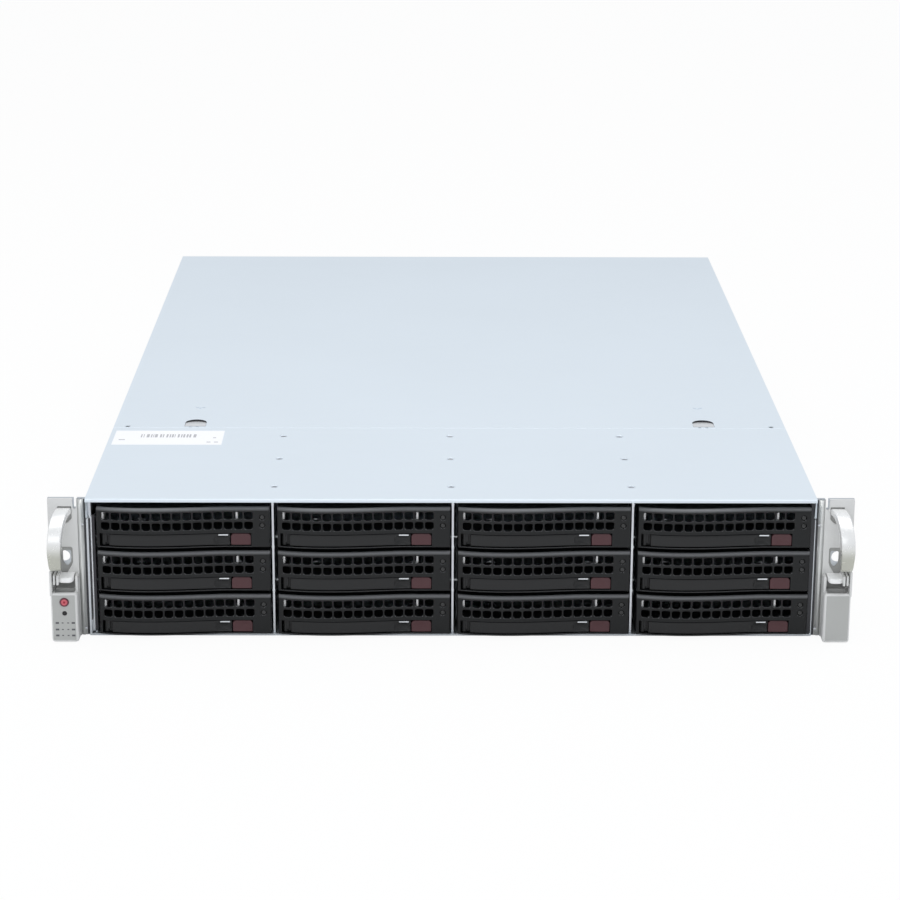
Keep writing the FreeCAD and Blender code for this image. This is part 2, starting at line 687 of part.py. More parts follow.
def motherboard():
    """Board on hexagonal standoffs, with sockets, slots, chip and rear connectors."""
    board = block(BOARD_X0, BOARD_X0 + BOARD_W, BOARD_Y0, BOARD_Y1, BOARD_Z0, BOARD_TOP)
    pieces = [board]
    for ix in range(2):
        for iy in range(3):
            x = BOARD_X0 + 8 + ix * (BOARD_W - 16)
            y = BOARD_Y0 + 8 + iy * (BOARD_L - 16) / 2
            ring = [(x + 3 * math.cos(math.radians(a)), y + 3 * math.sin(math.radians(a)))
                    for a in range(0, 360, 60)]
            pieces.append(prism_up(ring, SHEET, BOARD_Z0))
    for x, y in heatsink_places():
        pieces.append(block(x + 18, x + SINK_W - 18, y + 24, y + SINK_L - 24,
                            BOARD_TOP, BOARD_TOP + 5))
    for cpu in range(2):
        for index in range(DIMMS_PER_CPU):
            x = memory_left(cpu) + index * DIMM_PITCH
            pieces.append(block(x, x + 6, memory_y(), memory_y() + DIMM_L + 8,
                                BOARD_TOP, BOARD_TOP + 6))
    for slot in range(SLOTS):
        x = SLOT_X0 + (slot + 0.5) * SLOT_PITCH
        if x - 4 > BOARD_X0:
            pieces.append(block(x - 3.7, x + 3.7, BOARD_Y1 - 130, BOARD_Y1 - 42,
                                BOARD_TOP, BOARD_TOP + 11))
    for width, height, start in IO_PORTS:
        x = IO_X1 - IO_W + start
        pieces.append(block(x, x + width, BOARD_Y1 - 18, BODY_D - SHEET - GAP,
                            BOARD_TOP, BOARD_TOP + height))
    chip_x = BOARD_X0 + BOARD_W - 90
    pieces.append(block(chip_x, chip_x + 40, BOARD_Y1 - 120, BOARD_Y1 - 80, BOARD_TOP, BOARD_TOP + 16))
    return Part.makeCompound(pieces)


def cpu_heatsinks():
    sinks = []
    seat_z = BOARD_TOP + 5
    for x, y in heatsink_places():
        pieces = [block(x, x + SINK_W, y, y + SINK_L, seat_z, seat_z + SINK_BASE)]
        step = (SINK_W - FIN_T) / (FINS - 1)
        for index in range(FINS):
            fx = x + index * step
            pieces.append(block(fx, fx + FIN_T, y, y + SINK_L, seat_z + SINK_BASE, seat_z + SINK_H))
        sinks.append(joined(pieces))
    return Part.makeCompound(sinks)


def memory_modules():
    modules = []
    for cpu in range(2):
        for index in range(DIMMS_PER_CPU):
            x = memory_left(cpu) + index * DIMM_PITCH + 2.4
            y = memory_y() + 4
            modules.append(block(x, x + 1.3, y, y + DIMM_L, BOARD_TOP + 6, BOARD_TOP + 6 + DIMM_H))
    return Part.makeCompound(modules)


def power_distributor():
    """Board and sockets that the two supplies plug into."""
    y1 = PSU_Y0 - 2.0
    board = block(PSU_X0 + 4, PSU_X1 - 2, y1 - 26, y1 - 22, SHEET, RIM_TOP - SHEET - GAP)
    sockets = [block(PSU_X0 + 14, PSU_X1 - 12, y1 - 22, y1, z + 10, z + 26) for z in PSU_Z0]
    outlet = block(PSU_X0 + 10, PSU_X0 + 50, y1 - 38, y1 - 26, 24, 44)
    return Part.makeCompound([board, outlet] + sockets)


def expansion_slot_covers():
    """Blanking brackets: plate inside the rear wall, with a folded top tab."""
    covers = []
    side = (SLOT_PITCH - SLOT_W) / 2
    y1 = BODY_D - SHEET
    for slot in range(SLOTS):
        x = SLOT_X0 + slot * SLOT_PITCH + side
        plate = block(x, x + SLOT_W, y1 - 0.9, y1, SLOT_Z0 - 8, SLOT_Z1 + 3)
        tab = block(x, x + SLOT_W, y1 - 11, y1, SLOT_Z1 + 2.1, SLOT_Z1 + 3)
        covers.append(joined([plate, tab]))
    return Part.makeCompound(covers)


# ----------------------------------------------------------------- power supplies
def blocks_round(outer, window, y0, y1):
    """Four blocks that fill a rectangle round its window; each is left, right, bottom, top."""
    left, right, bottom, top = outer
    x0, x1, z0, z1 = window
    return [block(left, right, y0, y1, bottom, z0), block(left, right, y0, y1, z1, top),
            block(left, x0, y0, y1, z0, z1), block(x1, right, y0, y1, z0, z1)]


def psu_module(index):
    """Closed casing, the end blocks round the mains inlet's recess, and the grip."""
    z0 = PSU_Z0[index]
    z1 = z0 + PSU_H
    middle_z = z0 + PSU_H / 2
    end_y = BODY_D - INLET_DEEP
    casing = block(PSU_X0, PSU_X1, PSU_Y0, end_y, z0, z1)
    inside = block(PSU_X0 + CASING, PSU_X1 - CASING, PSU_Y0 + CASING, end_y - CASING,
                   z0 + CASING, z1 - CASING)
    inlet_x = PSU_X1 - INLET_EDGE - INLET_W
    inlet = (inlet_x, inlet_x + INLET_W, middle_z - INLET_H / 2, middle_z + INLET_H / 2)
    end = blocks_round((PSU_X0, PSU_X1, z0, z1), inlet, end_y, BODY_D)
    grip_x0 = PSU_X0 + GRIP_EDGE
    grip_x1 = grip_x0 + GRIP_W
    bar_y = BODY_D + GRIP_REACH - GRIP_BAR
    bar_z0 = middle_z - GRIP_BAR
    bar_z1 = middle_z + GRIP_BAR
    grip = [block(grip_x0, grip_x0 + GRIP_BAR, BODY_D, bar_y, bar_z0, bar_z1),
            block(grip_x1 - GRIP_BAR, grip_x1, BODY_D, bar_y, bar_z0, bar_z1),
            block(grip_x0, grip_x1, bar_y, bar_y + GRIP_BAR, bar_z0, bar_z1)]
    return Part.makeCompound([casing.cut(inside)] + end + grip)


def psu_latch(index):
    """Thumb latch beside the grip, clear of it over its travel."""
    middle_z = PSU_Z0[index] + PSU_H / 2
    x0 = PSU_X0 + GRIP_EDGE + GRIP_W + LATCH_TRAVEL + LATCH_GAP
    return block(x0, x0 + LATCH_T, BODY_D + GAP, BODY_D + LATCH_REACH,
                 middle_z - LATCH_W / 2, middle_z + LATCH_W / 2)


# -------------------------------------------------------------------------- write
save("chassis_tub", chassis_tub())
save("front_top_cover", front_top_cover())
save("rear_top_cover", rear_top_cover())
save("cover_release_left", cover_release(-1))
save("cover_release_right", cover_release(1))
save("left_handle_housing", left_handle_housing())
save("right_handle_housing", handle_housing())
save("power_button", push_button(POWER_R, POWER_Z, POWER_TRAVEL, 0.6))
save("reset_button", push_button(RESET_R, RESET_Z, RESET_TRAVEL, 0.0))
save("drive_bay_dividers", drive_bay_dividers())
save("drive_backplane", drive_backplane())
save_carriers()
save("fan_frames", fan_frames())
for number in range(3):
    save("fan_rotor_%d" % (number + 1), moved(fan_rotor(), fan_x(number), FAN_Y0, FAN_Z))
save("motherboard", motherboard())
save("cpu_heatsinks", cpu_heatsinks())
save("memory_modules", memory_modules())
save("power_distributor", power_distributor())
save("expansion_slot_covers", expansion_slot_covers())
for number in range(2):
    save("psu_module_%d" % (number + 1), psu_module(number))
    save("psu_latch_%d" % (number + 1), psu_latch(number))
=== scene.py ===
import bpy
import bmesh
import math
import random
from mathutils import Matrix, Vector


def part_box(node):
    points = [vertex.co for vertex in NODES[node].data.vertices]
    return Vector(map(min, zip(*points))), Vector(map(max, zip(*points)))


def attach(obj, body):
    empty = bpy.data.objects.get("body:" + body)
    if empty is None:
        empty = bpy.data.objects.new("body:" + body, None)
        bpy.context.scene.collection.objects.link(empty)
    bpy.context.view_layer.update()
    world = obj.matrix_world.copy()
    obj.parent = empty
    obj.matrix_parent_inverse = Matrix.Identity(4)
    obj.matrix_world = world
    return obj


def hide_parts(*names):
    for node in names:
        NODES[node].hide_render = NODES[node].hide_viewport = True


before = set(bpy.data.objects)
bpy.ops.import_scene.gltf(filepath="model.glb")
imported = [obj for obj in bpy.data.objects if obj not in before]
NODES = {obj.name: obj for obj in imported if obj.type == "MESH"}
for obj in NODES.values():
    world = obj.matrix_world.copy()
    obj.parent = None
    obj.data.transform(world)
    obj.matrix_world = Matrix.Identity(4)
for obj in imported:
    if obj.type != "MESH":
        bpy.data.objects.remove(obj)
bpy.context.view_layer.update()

# ---------------------------------------------------------------------- studio
# The server stands on a pale floor under even, soft light, with a long lens in
# front of it and a little above.  None of this is part of the server.
scene = bpy.context.scene
scene.view_settings.view_transform = "Standard"

lens = bpy.data.cameras.new("camera")
lens.sensor_width = 36.0
lens.lens = 105.12
lens.clip_end = 20.0
camera = bpy.data.objects.new("camera", lens)
scene.collection.objects.link(camera)
camera_place = (-0.013196, -1.4917, 0.574164)
look_aside, look_down, lean = -0.4686, 17.012, 0.2283
camera_yaw = Matrix.Rotation(math.radians(look_aside), 4, "Z")
camera_pitch = Matrix.Rotation(math.radians(90.0 - look_down), 4, "X")
camera_roll = Matrix.Rotation(math.radians(lean), 4, "Z")
camera.matrix_world = Matrix.Translation(camera_place) @ camera_yaw @ camera_pitch @ camera_roll
scene.camera = camera


def reckoned(tree, operation, first, second):
    """One sum in a node tree; the second value may be a plain number."""
    result = tree.nodes.new("ShaderNodeMath")
    result.operation = operation
    tree.links.new(first, result.inputs[0])
    if isinstance(second, float):
        result.inputs[1].default_value = second
    else:
        tree.links.new(second, result.inputs[1])
    return result.outputs[0]


def seen_directly(tree):
    """1 for rays from the camera or through glass, 0 for the light that falls on things."""
    path = tree.nodes.new("ShaderNodeLightPath")
    return reckoned(tree, "MAXIMUM", path.outputs["Is Camera Ray"], path.outputs["Is Transmission Ray"])


world = bpy.data.worlds.new("studio")
scene.world = world
world.use_nodes = True
sky = world.node_tree
dome = sky.nodes["Background"]
dome.inputs["Color"].default_value = (0.93, 0.96, 1.0, 1.0)
dome.inputs["Strength"].default_value = 0.68
backdrop = sky.nodes.new("ShaderNodeBackground")
backdrop.inputs["Color"].default_value = (1.0, 1.0, 1.0, 1.0)
backdrop.inputs["Strength"].default_value = 1.0
either = sky.nodes.new("ShaderNodeMixShader")
sky.links.new(seen_directly(sky), either.inputs["Fac"])
sky.links.new(dome.outputs[0], either.inputs[1])
sky.links.new(backdrop.outputs[0], either.inputs[2])
sky.links.new(either.outputs[0], sky.nodes["World Output"].inputs["Surface"])


def softbox(name, watts, width, height, place, target):
    """Soft rectangular lamp at a place, turned to its target."""
    lamp = bpy.data.lights.new(name, "AREA")
    lamp.shape = "RECTANGLE"
    lamp.energy = watts
    lamp.size = width
    lamp.size_y = height
    box = bpy.data.objects.new(name, lamp)
    scene.collection.objects.link(box)
    box.location = place
    box.rotation_euler = (Vector(target) - Vector(place)).to_track_quat("-Z", "Y").to_euler()


softbox("overhead_box", 13.2, 2.2, 1.2, (0.0, -0.05, 1.64), (0.0, 0.12, 0.0))
softbox("front_box", 4.0, 1.8, 0.8, (-0.5, -1.9, 0.9), (0.0, 0.0, 0.05))

floor_half, floor_drop = 6.0, 0.0006
sweep = bmesh.new()
bmesh.ops.create_grid(sweep, x_segments=1, y_segments=1, size=floor_half)
bmesh.ops.translate(sweep, vec=(0.0, 0.0, -floor_drop), verts=sweep.verts)
floor_mesh = bpy.data.meshes.new("floor")
sweep.to_mesh(floor_mesh)
sweep.free()
floor = bpy.data.objects.new("floor", floor_mesh)
scene.collection.objects.link(floor)
floor_paint = bpy.data.materials.new("floor_paint")
floor_paint.use_nodes = True
paint = floor_paint.node_tree
matt = paint.nodes["Principled BSDF"]
matt.inputs["Base Color"].default_value = (0.95, 0.95, 0.95, 1.0)
matt.inputs["Roughness"].default_value = 0.9
glow = paint.nodes.new("ShaderNodeEmission")
glow.inputs["Strength"].default_value = 1.0
blend = paint.nodes.new("ShaderNodeMixShader")
paint.links.new(reckoned(paint, "MULTIPLY", seen_directly(paint), 0.94), blend.inputs["Fac"])
paint.links.new(matt.outputs[0], blend.inputs[1])
paint.links.new(glow.outputs[0], blend.inputs[2])
paint.links.new(blend.outputs[0], paint.nodes["Material Output"].inputs["Surface"])
floor_mesh.materials.append(floor_paint)


def effect(name, inputs, outputs):
    """Empty node group with named inputs and outputs."""
    group = bpy.data.node_groups.new(name, "ShaderNodeTree")
    for label, kind, value in inputs:
        socket = group.interface.new_socket(label, in_out="INPUT", socket_type=kind)
        socket.default_value = value
    for label, kind in outputs:
        group.interface.new_socket(label, in_out="OUTPUT", socket_type=kind)
    return group, group.nodes.new("NodeGroupInput"), group.nodes.new("NodeGroupOutput")


def noise_on(tree, stretch, scale, detail):
    """Noise in the server's own space, drawn out along the axes by stretch."""
    place = tree.nodes.new("ShaderNodeTexCoord")
    turn = tree.nodes.new("ShaderNodeMapping")
    turn.inputs["Scale"].default_value = stretch
    grain = tree.nodes.new("ShaderNodeTexNoise")
    grain.inputs["Scale"].default_value = scale
    grain.inputs["Detail"].default_value = detail
    tree.links.new(place.outputs["Object"], turn.inputs["Vector"])
    tree.links.new(turn.outputs["Vector"], grain.inputs["Vector"])
    return grain.outputs["Fac"]


def around_zero(tree, value, amount):
    """(value - 0.5) * amount"""
    return reckoned(tree, "MULTIPLY", reckoned(tree, "SUBTRACT", value, 0.5), amount)


def plus(tree, first, second):
    """first + second"""
    return reckoned(tree, "ADD", first, second)


def shaded(tree, colour, change):
    """Colour made lighter or darker by change, where 0 leaves it alone."""
    level = tree.nodes.new("ShaderNodeHueSaturation")
    tree.links.new(plus(tree, change, 1.0), level.inputs["Value"])
    tree.links.new(colour, level.inputs["Color"])
    return level.outputs["Color"]


rolled, rolled_in, rolled_out = effect(
    "rolled_sheet",
    [("Colour", "NodeSocketColor", (0.7, 0.7, 0.7, 1.0)),
     ("Roughness", "NodeSocketFloat", 0.4),
     ("Cloud", "NodeSocketFloat", 0.05),
     ("Streak", "NodeSocketFloat", 0.05)],
    [("Colour", "NodeSocketColor"), ("Roughness", "NodeSocketFloat"),
     ("Height", "NodeSocketFloat")])
clouds = around_zero(rolled, noise_on(rolled, (1.0, 1.0, 1.0), 9.0, 3.0), rolled_in.outputs["Cloud"])
streaks = noise_on(rolled, (0.05, 1.0, 1.0), 900.0, 2.0)
streak_shade = around_zero(rolled, streaks, rolled_in.outputs["Streak"])
unevenness = plus(rolled, clouds, streak_shade)
rolled.links.new(shaded(rolled, rolled_in.outputs["Colour"], unevenness), rolled_out.inputs["Colour"])
rolled.links.new(plus(rolled, rolled_in.outputs["Roughness"], unevenness), rolled_out.inputs["Roughness"])
rolled.links.new(streaks, rolled_out.inputs["Height"])


def finish(name, pattern, colour, roughness, metallic=0.0, relief=0.1, gloss=0.5, **levels):
    """Material whose colour, gloss and relief come from one of the effects."""
    made = bpy.data.materials.new(name)
    made.use_nodes = True
    tree = made.node_tree
    shader = tree.nodes["Principled BSDF"]
    shader.inputs["Metallic"].default_value = metallic
    shader.inputs["Specular IOR Level"].default_value = gloss
    surface = tree.nodes.new("ShaderNodeGroup")
    surface.node_tree = pattern
    surface.inputs["Colour"].default_value = (*colour, 1.0)
    surface.inputs["Roughness"].default_value = roughness
    for label, value in levels.items():
        surface.inputs[label.capitalize()].default_value = value
    bump = tree.nodes.new("ShaderNodeBump")
    bump.inputs["Strength"].default_value = relief
    bump.inputs["Distance"].default_value = 0.0002
    tree.links.new(surface.outputs["Colour"], shader.inputs["Base Color"])
    tree.links.new(surface.outputs["Roughness"], shader.inputs["Roughness"])
    tree.links.new(surface.outputs["Height"], bump.inputs["Height"])
    tree.links.new(bump.outputs["Normal"], shader.inputs["Normal"])
    return made


def dress(node, *finishes):
    """Gives a CAD node's own mesh its finish."""
    mesh = NODES[node].data
    mesh.materials.clear()
    for made in finishes:
        mesh.materials.append(made)


ZINC = finish("zinc_sheet", rolled, (0.62, 0.65, 0.68), 0.42, metallic=0.85, relief=0.08,
              Cloud=0.10, Streak=0.10)
dress("chassis_tub", ZINC)


# ---------------------------------------------------------------- front cover
# Fixed front cover over the drive bays: one sheet of zinc-coated steel with a
# soft bend along its front edge, skirts at both sides and nine countersunk screws.
MM = 0.001


def span(node):
    """A CAD node's box in millimetres."""
    low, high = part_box(node)
    return low / MM, high / MM


def piece(name, shape, finishes, body, stands_for=(), crease=32.0):
    """Turns a shape in millimetres into a finished piece that rides on a body."""
    bmesh.ops.scale(shape, vec=(MM, MM, MM), verts=shape.verts)
    bmesh.ops.recalc_face_normals(shape, faces=shape.faces)
    mesh = bpy.data.meshes.new(name)
    shape.to_mesh(mesh)
    shape.free()
    for made in finishes:
        mesh.materials.append(made)
    mesh.shade_smooth()
    mesh.set_sharp_from_angle(angle=math.radians(crease))
    made = bpy.data.objects.new(name, mesh)
    scene.collection.objects.link(made)
    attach(made, body)
    if stands_for:
        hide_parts(*stands_for)
    return made


def verts_in(made):
    """The vertices among the things that an operator made."""
    return [item for item in made if isinstance(item, bmesh.types.BMVert)]


def edges_of(verts):
    """The edges that run between these vertices."""
    inside = set(verts)
    return [edge for edge in {e for v in verts for e in v.link_edges} if set(edge.verts) <= inside]


def outline(shape, corners):
    """Closed loop of edges through the corners."""
    verts = [shape.verts.new(corner) for corner in corners]
    return [shape.edges.new(pair) for pair in zip(verts, verts[1:] + verts[:1])]


def level_rectangle(x0, y0, x1, y1, z):
    """Corners of a rectangle that lies level."""
    return [(x0, y0, z), (x1, y0, z), (x1, y1, z), (x0, y1, z)]


def ring(shape, centre, radius, sides):
    """Closed round loop of edges, level with the top of the server."""
    made = bmesh.ops.create_circle(shape, cap_ends=False, segments=sides, radius=radius,
                                   matrix=Matrix.Translation(centre))
    return edges_of(made["verts"])


def drawn(shape, edges, move, grow=1.0, about=(0.0, 0.0, 0.0)):
    """Draws edges out by a move, after which they may grow or shrink about a point."""
    made = bmesh.ops.extrude_edge_only(shape, edges=edges)["geom"]
    verts = verts_in(made)
    bmesh.ops.translate(shape, vec=move, verts=verts)
    if grow != 1.0:
        back = Matrix.Translation(-Vector(about))
        bmesh.ops.scale(shape, vec=(grow, grow, 1.0), verts=verts, space=back)
    return [item for item in made if isinstance(item, bmesh.types.BMEdge)]


def dimple(shape, centre, mouth, throat, depth):
    """Pressed cone for a countersunk head; returns the loop of its mouth."""
    top = ring(shape, centre, mouth, 20)
    floor_loop = drawn(shape, top, (0.0, 0.0, -depth), throat / mouth, centre)
    bmesh.ops.edgeloop_fill(shape, edges=floor_loop)
    return top


def screw_head(shape, centre, radius, height, across):
    """Round head with a key hole this much across, its flat face level with centre."""
    face = bmesh.ops.create_circle(shape, cap_ends=True, segments=18, radius=radius,
                                   matrix=Matrix.Translation(centre))["verts"][0].link_faces[0]
    body = bmesh.ops.extrude_face_region(shape, geom=[face])["geom"]
    bmesh.ops.translate(shape, vec=(0.0, 0.0, -height), verts=verts_in(body))
    bmesh.ops.inset_region(shape, faces=[face], thickness=radius - across, depth=0.0)
    key = bmesh.ops.extrude_face_region(shape, geom=[face])["geom"]
    bmesh.ops.translate(shape, vec=(0.0, 0.0, -0.6 * height), verts=verts_in(key))


def rim_of(shape, axis, at):
    """Open edges that lie at one coordinate."""
    return [edge for edge in shape.edges
            if edge.is_boundary and all(abs(vert.co[axis] - at) < 1e-3 for vert in edge.verts)]


def flattened(made):
    """Keeps the wide flats flat and lets only the bends shade round."""
    shape = bmesh.new()
    shape.from_mesh(made.data)
    for edge in shape.edges:
        level = [abs(face.normal.z) > 0.9999 for face in edge.link_faces]
        if len(level) == 1 or level[0] != level[1]:
            edge.smooth = False
    shape.to_mesh(made.data)
    shape.free()


def sheeted(made, thickness, cut_edge=0):
    """Gives a skin the thickness of its sheet, on the inside, and its cut edge a finish."""
    wall = made.modifiers.new("sheet", "SOLIDIFY")
    wall.material_offset_rim = cut_edge
    wall.thickness = thickness * MM
    wall.offset = -1.0
    wall.use_even_offset = True
    flattened(made)


def skirt(shape, edge_x, drop):
    """Folds a side of the cover's top straight down."""
    side = [edge for edge in rim_of(shape, 0, edge_x)
            if all(vert.co.z > COVER_TOP - 1e-3 for vert in edge.verts)]
    drawn(shape, side, (0.0, 0.0, -drop))


front_low, front_high = span("front_top_cover")
LABEL_THICK = 0.12
COVER_TOP = front_high.z - LABEL_THICK
sheet_thick = 1.2
skirt_drop = 12.0
bend, hem_drop = 1.4, 2.0
COVER = finish("cover_sheet", rolled, (0.745, 0.815, 0.875), 0.40, metallic=0.15, relief=0.05,
               Cloud=0.035, Streak=0.03)
skin = bmesh.new()
sheet_corners = level_rectangle(front_low.x, front_low.y + bend, front_high.x, front_high.y, COVER_TOP)
loops = outline(skin, sheet_corners)
cover_screws = [(x, y) for x in (-107.0, 0.0, 109.0) for y in (22.0, 79.0, 128.0)]
for screw_x, screw_y in cover_screws:
    loops += dimple(skin, (screw_x, screw_y, COVER_TOP), mouth=2.7, throat=1.9, depth=0.8)
bmesh.ops.triangle_fill(skin, use_beauty=True, use_dissolve=False, edges=loops)
bmesh.ops.recalc_face_normals(skin, faces=skin.faces)
hem = rim_of(skin, 1, front_low.y + bend)
bmesh.ops.spin(skin, geom=hem, cent=(0.0, front_low.y + bend, COVER_TOP - bend), axis=(1.0, 0.0, 0.0),
               angle=math.radians(90.0), steps=8, use_duplicate=False)
turned_down = [edge for edge in rim_of(skin, 1, front_low.y)
               if all(abs(vert.co.z - COVER_TOP + bend) < 1e-3 for vert in edge.verts)]
drawn(skin, turned_down, (0.0, 0.0, bend - hem_drop))
for edge_x in (front_low.x, front_high.x):
    skirt(skin, edge_x, skirt_drop)
sheeted(piece("front_cover_sheet", skin, [COVER], "chassis",
              ["front_top_cover"]), sheet_thick)

SCREW = finish("screw_steel", rolled, (0.55, 0.57, 0.60), 0.30, metallic=0.9, relief=0.0,
               Cloud=0.05, Streak=0.05)
heads = bmesh.new()
for screw_x, screw_y in cover_screws:
    screw_head(heads, (screw_x, screw_y, COVER_TOP - 0.3), radius=1.75, height=0.9, across=0.9)
piece("front_cover_screws", heads, [SCREW], "chassis")


# ----------------------------------------------------------------- rear cover
# Sliding rear cover, of the same sheet as the front one.  Its front edge is bent
# down at the seam, and it has openings for the two thumb tabs, with a coined
# arrow behind each, and a small screw in each front corner.
def tongue(shape, middle_x, half, front, straight, z):
    """Loop with a straight front and sides and a round rear."""
    first = shape.verts.new((middle_x + half, front + straight, z))
    turned = bmesh.ops.spin(shape, geom=[first], cent=(middle_x, front + straight, 0.0),
                            axis=(0.0, 0.0, 1.0), angle=math.pi, steps=20)["geom_last"]
    last = verts_in(turned)[0]
    corner_left = shape.verts.new((middle_x - half, front, z))
    corner_right = shape.verts.new((middle_x + half, front, z))
    for pair in ((last, corner_left), (corner_left, corner_right), (corner_right, first)):
        shape.edges.new(pair)
    run, edges = first, []
    edge = next(e for e in first.link_edges if e.other_vert(first) is not corner_right)
    while edge not in edges:
        edges.append(edge)
        run = edge.other_vert(run)
        edge = next(e for e in run.link_edges if e is not edge)
    return edges


def sunk_mark(shape, corners, depth, tone=0):
    """Mark pressed into a sheet; returns the loop at the surface."""
    top = outline(shape, corners)
    bottom = bmesh.ops.edgeloop_fill(shape, edges=drawn(shape, top, (0.0, 0.0, -depth)))["faces"]
    for face in bottom:
        face.material_index = tone
    return top


# Near black for the small dark screws, and also painted shade in the seam slots, on the rear cover's cut
# edges and in the gaps beside the ear strips.
DARK_SCREW_AND_SHADE = finish("dark_screw_and_painted_shade", rolled, (0.05, 0.05, 0.055), 0.35, metallic=0.6, relief=0.0,
                    Cloud=0.05, Streak=0.05)
rear_low, rear_high = span("rear_top_cover")
tab_spans = {"left": span("cover_release_left"), "right": span("cover_release_right")}
tab_gap, tab_side_gap = 0.5, 0.15
seam_bend = 0.7
seam_slot_left, seam_slot_right, seam_slot_half = -3.0, 1.6, 1.0
seam_slot_front, seam_slot_back = -2.6, -1.3
seam_slot_deep, arrow_deep = 1.0, 0.5
arrow_y, arrow_half, arrow_rise, arrow_thick = 193.5, 3.0, 2.4, 1.4
skin = bmesh.new()
sheet_corners = level_rectangle(rear_low.x, rear_low.y + seam_bend, rear_high.x, rear_high.y, COVER_TOP)
loops = outline(skin, sheet_corners)
for tab_low, tab_high in tab_spans.values():
    middle = (tab_low.x + tab_high.x) / 2
    half = (tab_high.x - tab_low.x) / 2 + tab_side_gap
    straight = tab_high.y - tab_low.y - half + tab_gap
    loops += tongue(skin, middle, half, tab_low.y - tab_gap, straight + tab_gap, COVER_TOP)
    for slot_x in (middle + seam_slot_left, middle + seam_slot_right):
        slot = level_rectangle(slot_x - seam_slot_half, tab_low.y + seam_slot_front,
                               slot_x + seam_slot_half, tab_low.y + seam_slot_back, COVER_TOP)
        # The floors of the slots at the seam are painted near black: painted shade.
        loops += sunk_mark(skin, slot, seam_slot_deep, tone=1)
    arrow_left, arrow_right = middle - arrow_half, middle + arrow_half
    arrow_tip, arrow_back = arrow_y - arrow_rise, arrow_y + arrow_thick
    arrow = [(arrow_left, arrow_y, COVER_TOP), (middle, arrow_tip, COVER_TOP),
             (arrow_right, arrow_y, COVER_TOP), (arrow_right, arrow_back, COVER_TOP),
             (middle, arrow_tip + arrow_thick, COVER_TOP), (arrow_left, arrow_back, COVER_TOP)]
    loops += sunk_mark(skin, arrow, arrow_deep)
corner_screws = [(rear_low.x + 9.0, rear_low.y + 3.2), (rear_high.x - 9.0, rear_low.y + 3.2)]
for screw_x, screw_y in corner_screws:
    loops += dimple(skin, (screw_x, screw_y, COVER_TOP), mouth=1.9, throat=1.5, depth=0.9)
bmesh.ops.triangle_fill(skin, use_beauty=True, use_dissolve=False, edges=loops)
bmesh.ops.recalc_face_normals(skin, faces=skin.faces)
bmesh.ops.spin(skin, geom=rim_of(skin, 1, rear_low.y + seam_bend),
               cent=(0.0, rear_low.y + seam_bend, COVER_TOP - seam_bend), axis=(1.0, 0.0, 0.0),
               angle=math.radians(90.0), steps=4, use_duplicate=False)
for edge_x in (rear_low.x, rear_high.x):
    skirt(skin, edge_x, skirt_drop)
# The sheet's rim faces, its cut edges, are painted near black: painted shade on the walls of the tab
# openings.
sheeted(piece("rear_cover_sheet", skin, [COVER, DARK_SCREW_AND_SHADE], "rear_cover",
              ["rear_top_cover"]), sheet_thick, cut_edge=1)

heads = bmesh.new()
for screw_x, screw_y in corner_screws:
    screw_head(heads, (screw_x, screw_y, COVER_TOP - 0.35), radius=1.4, height=0.7, across=0.7)
piece("rear_cover_screws", heads, [DARK_SCREW_AND_SHADE], "rear_cover")


# ----------------------------------------------------------------- thumb tabs
# Thumb tab that unlocks the rear cover: a steel tongue whose rear half is dished
# for the thumb, so that a dark crescent shows behind it.
TAB = finish("tab_satin", rolled, (0.80, 0.81, 0.82), 0.34, metallic=0.5, relief=0.04,
             Cloud=0.03, Streak=0.03)
leaf_thick, leaf_dip, flat_share, leaf_cuts = 1.2, 1.2, 0.15, 8


def cut_across(shape, axis, at):
    """Cuts a line round a shape at one coordinate."""
    normal = [0.0, 0.0, 0.0]
    point = [0.0, 0.0, 0.0]
    normal[axis], point[axis] = 1.0, at
    bmesh.ops.bisect_plane(shape, geom=shape.verts[:] + shape.edges[:] + shape.faces[:],
                           plane_co=point, plane_no=normal)


for side_name, (tab_low, tab_high) in tab_spans.items():
    middle = (tab_low.x + tab_high.x) / 2
    half = (tab_high.x - tab_low.x) / 2
    leaf = bmesh.new()
    loop = tongue(leaf, middle, half, tab_low.y, tab_high.y - tab_low.y - half, COVER_TOP)
    bmesh.ops.edgeloop_fill(leaf, edges=loop)
    for cut in range(1, leaf_cuts):
        cut_across(leaf, 1, tab_low.y + cut * (tab_high.y - tab_low.y) / leaf_cuts)
    for vert in leaf.verts:
        along = (vert.co.y - tab_low.y) / (tab_high.y - tab_low.y)
        vert.co.z -= leaf_dip * (max(0.0, along - flat_share) / (1.0 - flat_share)) ** 1.3
    under = bmesh.ops.extrude_face_region(leaf, geom=leaf.faces[:])["geom"]
    bmesh.ops.translate(leaf, vec=(0.0, 0.0, -leaf_thick), verts=verts_in(under))
    piece("thumb_tab_" + side_name, leaf, [TAB], "cover_release_" + side_name,
          ["cover_release_" + side_name])


# ---------------------------------------------------------------------- label
# Paper label stuck on the front cover near its left side.  A row of plain bars and
# four short dashes are printed on it, and they spell nothing.
PAPER = finish("label_paper", rolled, (0.97, 0.97, 0.98), 0.55, relief=0.02, Cloud=0.01, Streak=0.01)
INK = finish("label_ink", rolled, (0.50, 0.50, 0.52), 0.6, relief=0.0, Cloud=0.1, Streak=0.1)
label_x0, label_x1, label_y0, label_y1 = front_low.x + 3.0, front_low.x + 73.0, 108.0, 139.0
paper_top, ink_top = COVER_TOP + 0.09, COVER_TOP + LABEL_THICK
bars_y0, bars_y1 = label_y1 - 15.0, label_y1 - 8.0
bars_x0, bars_x1 = label_x0 + 17.0, label_x1 - 18.0
dash_tall = 1.6


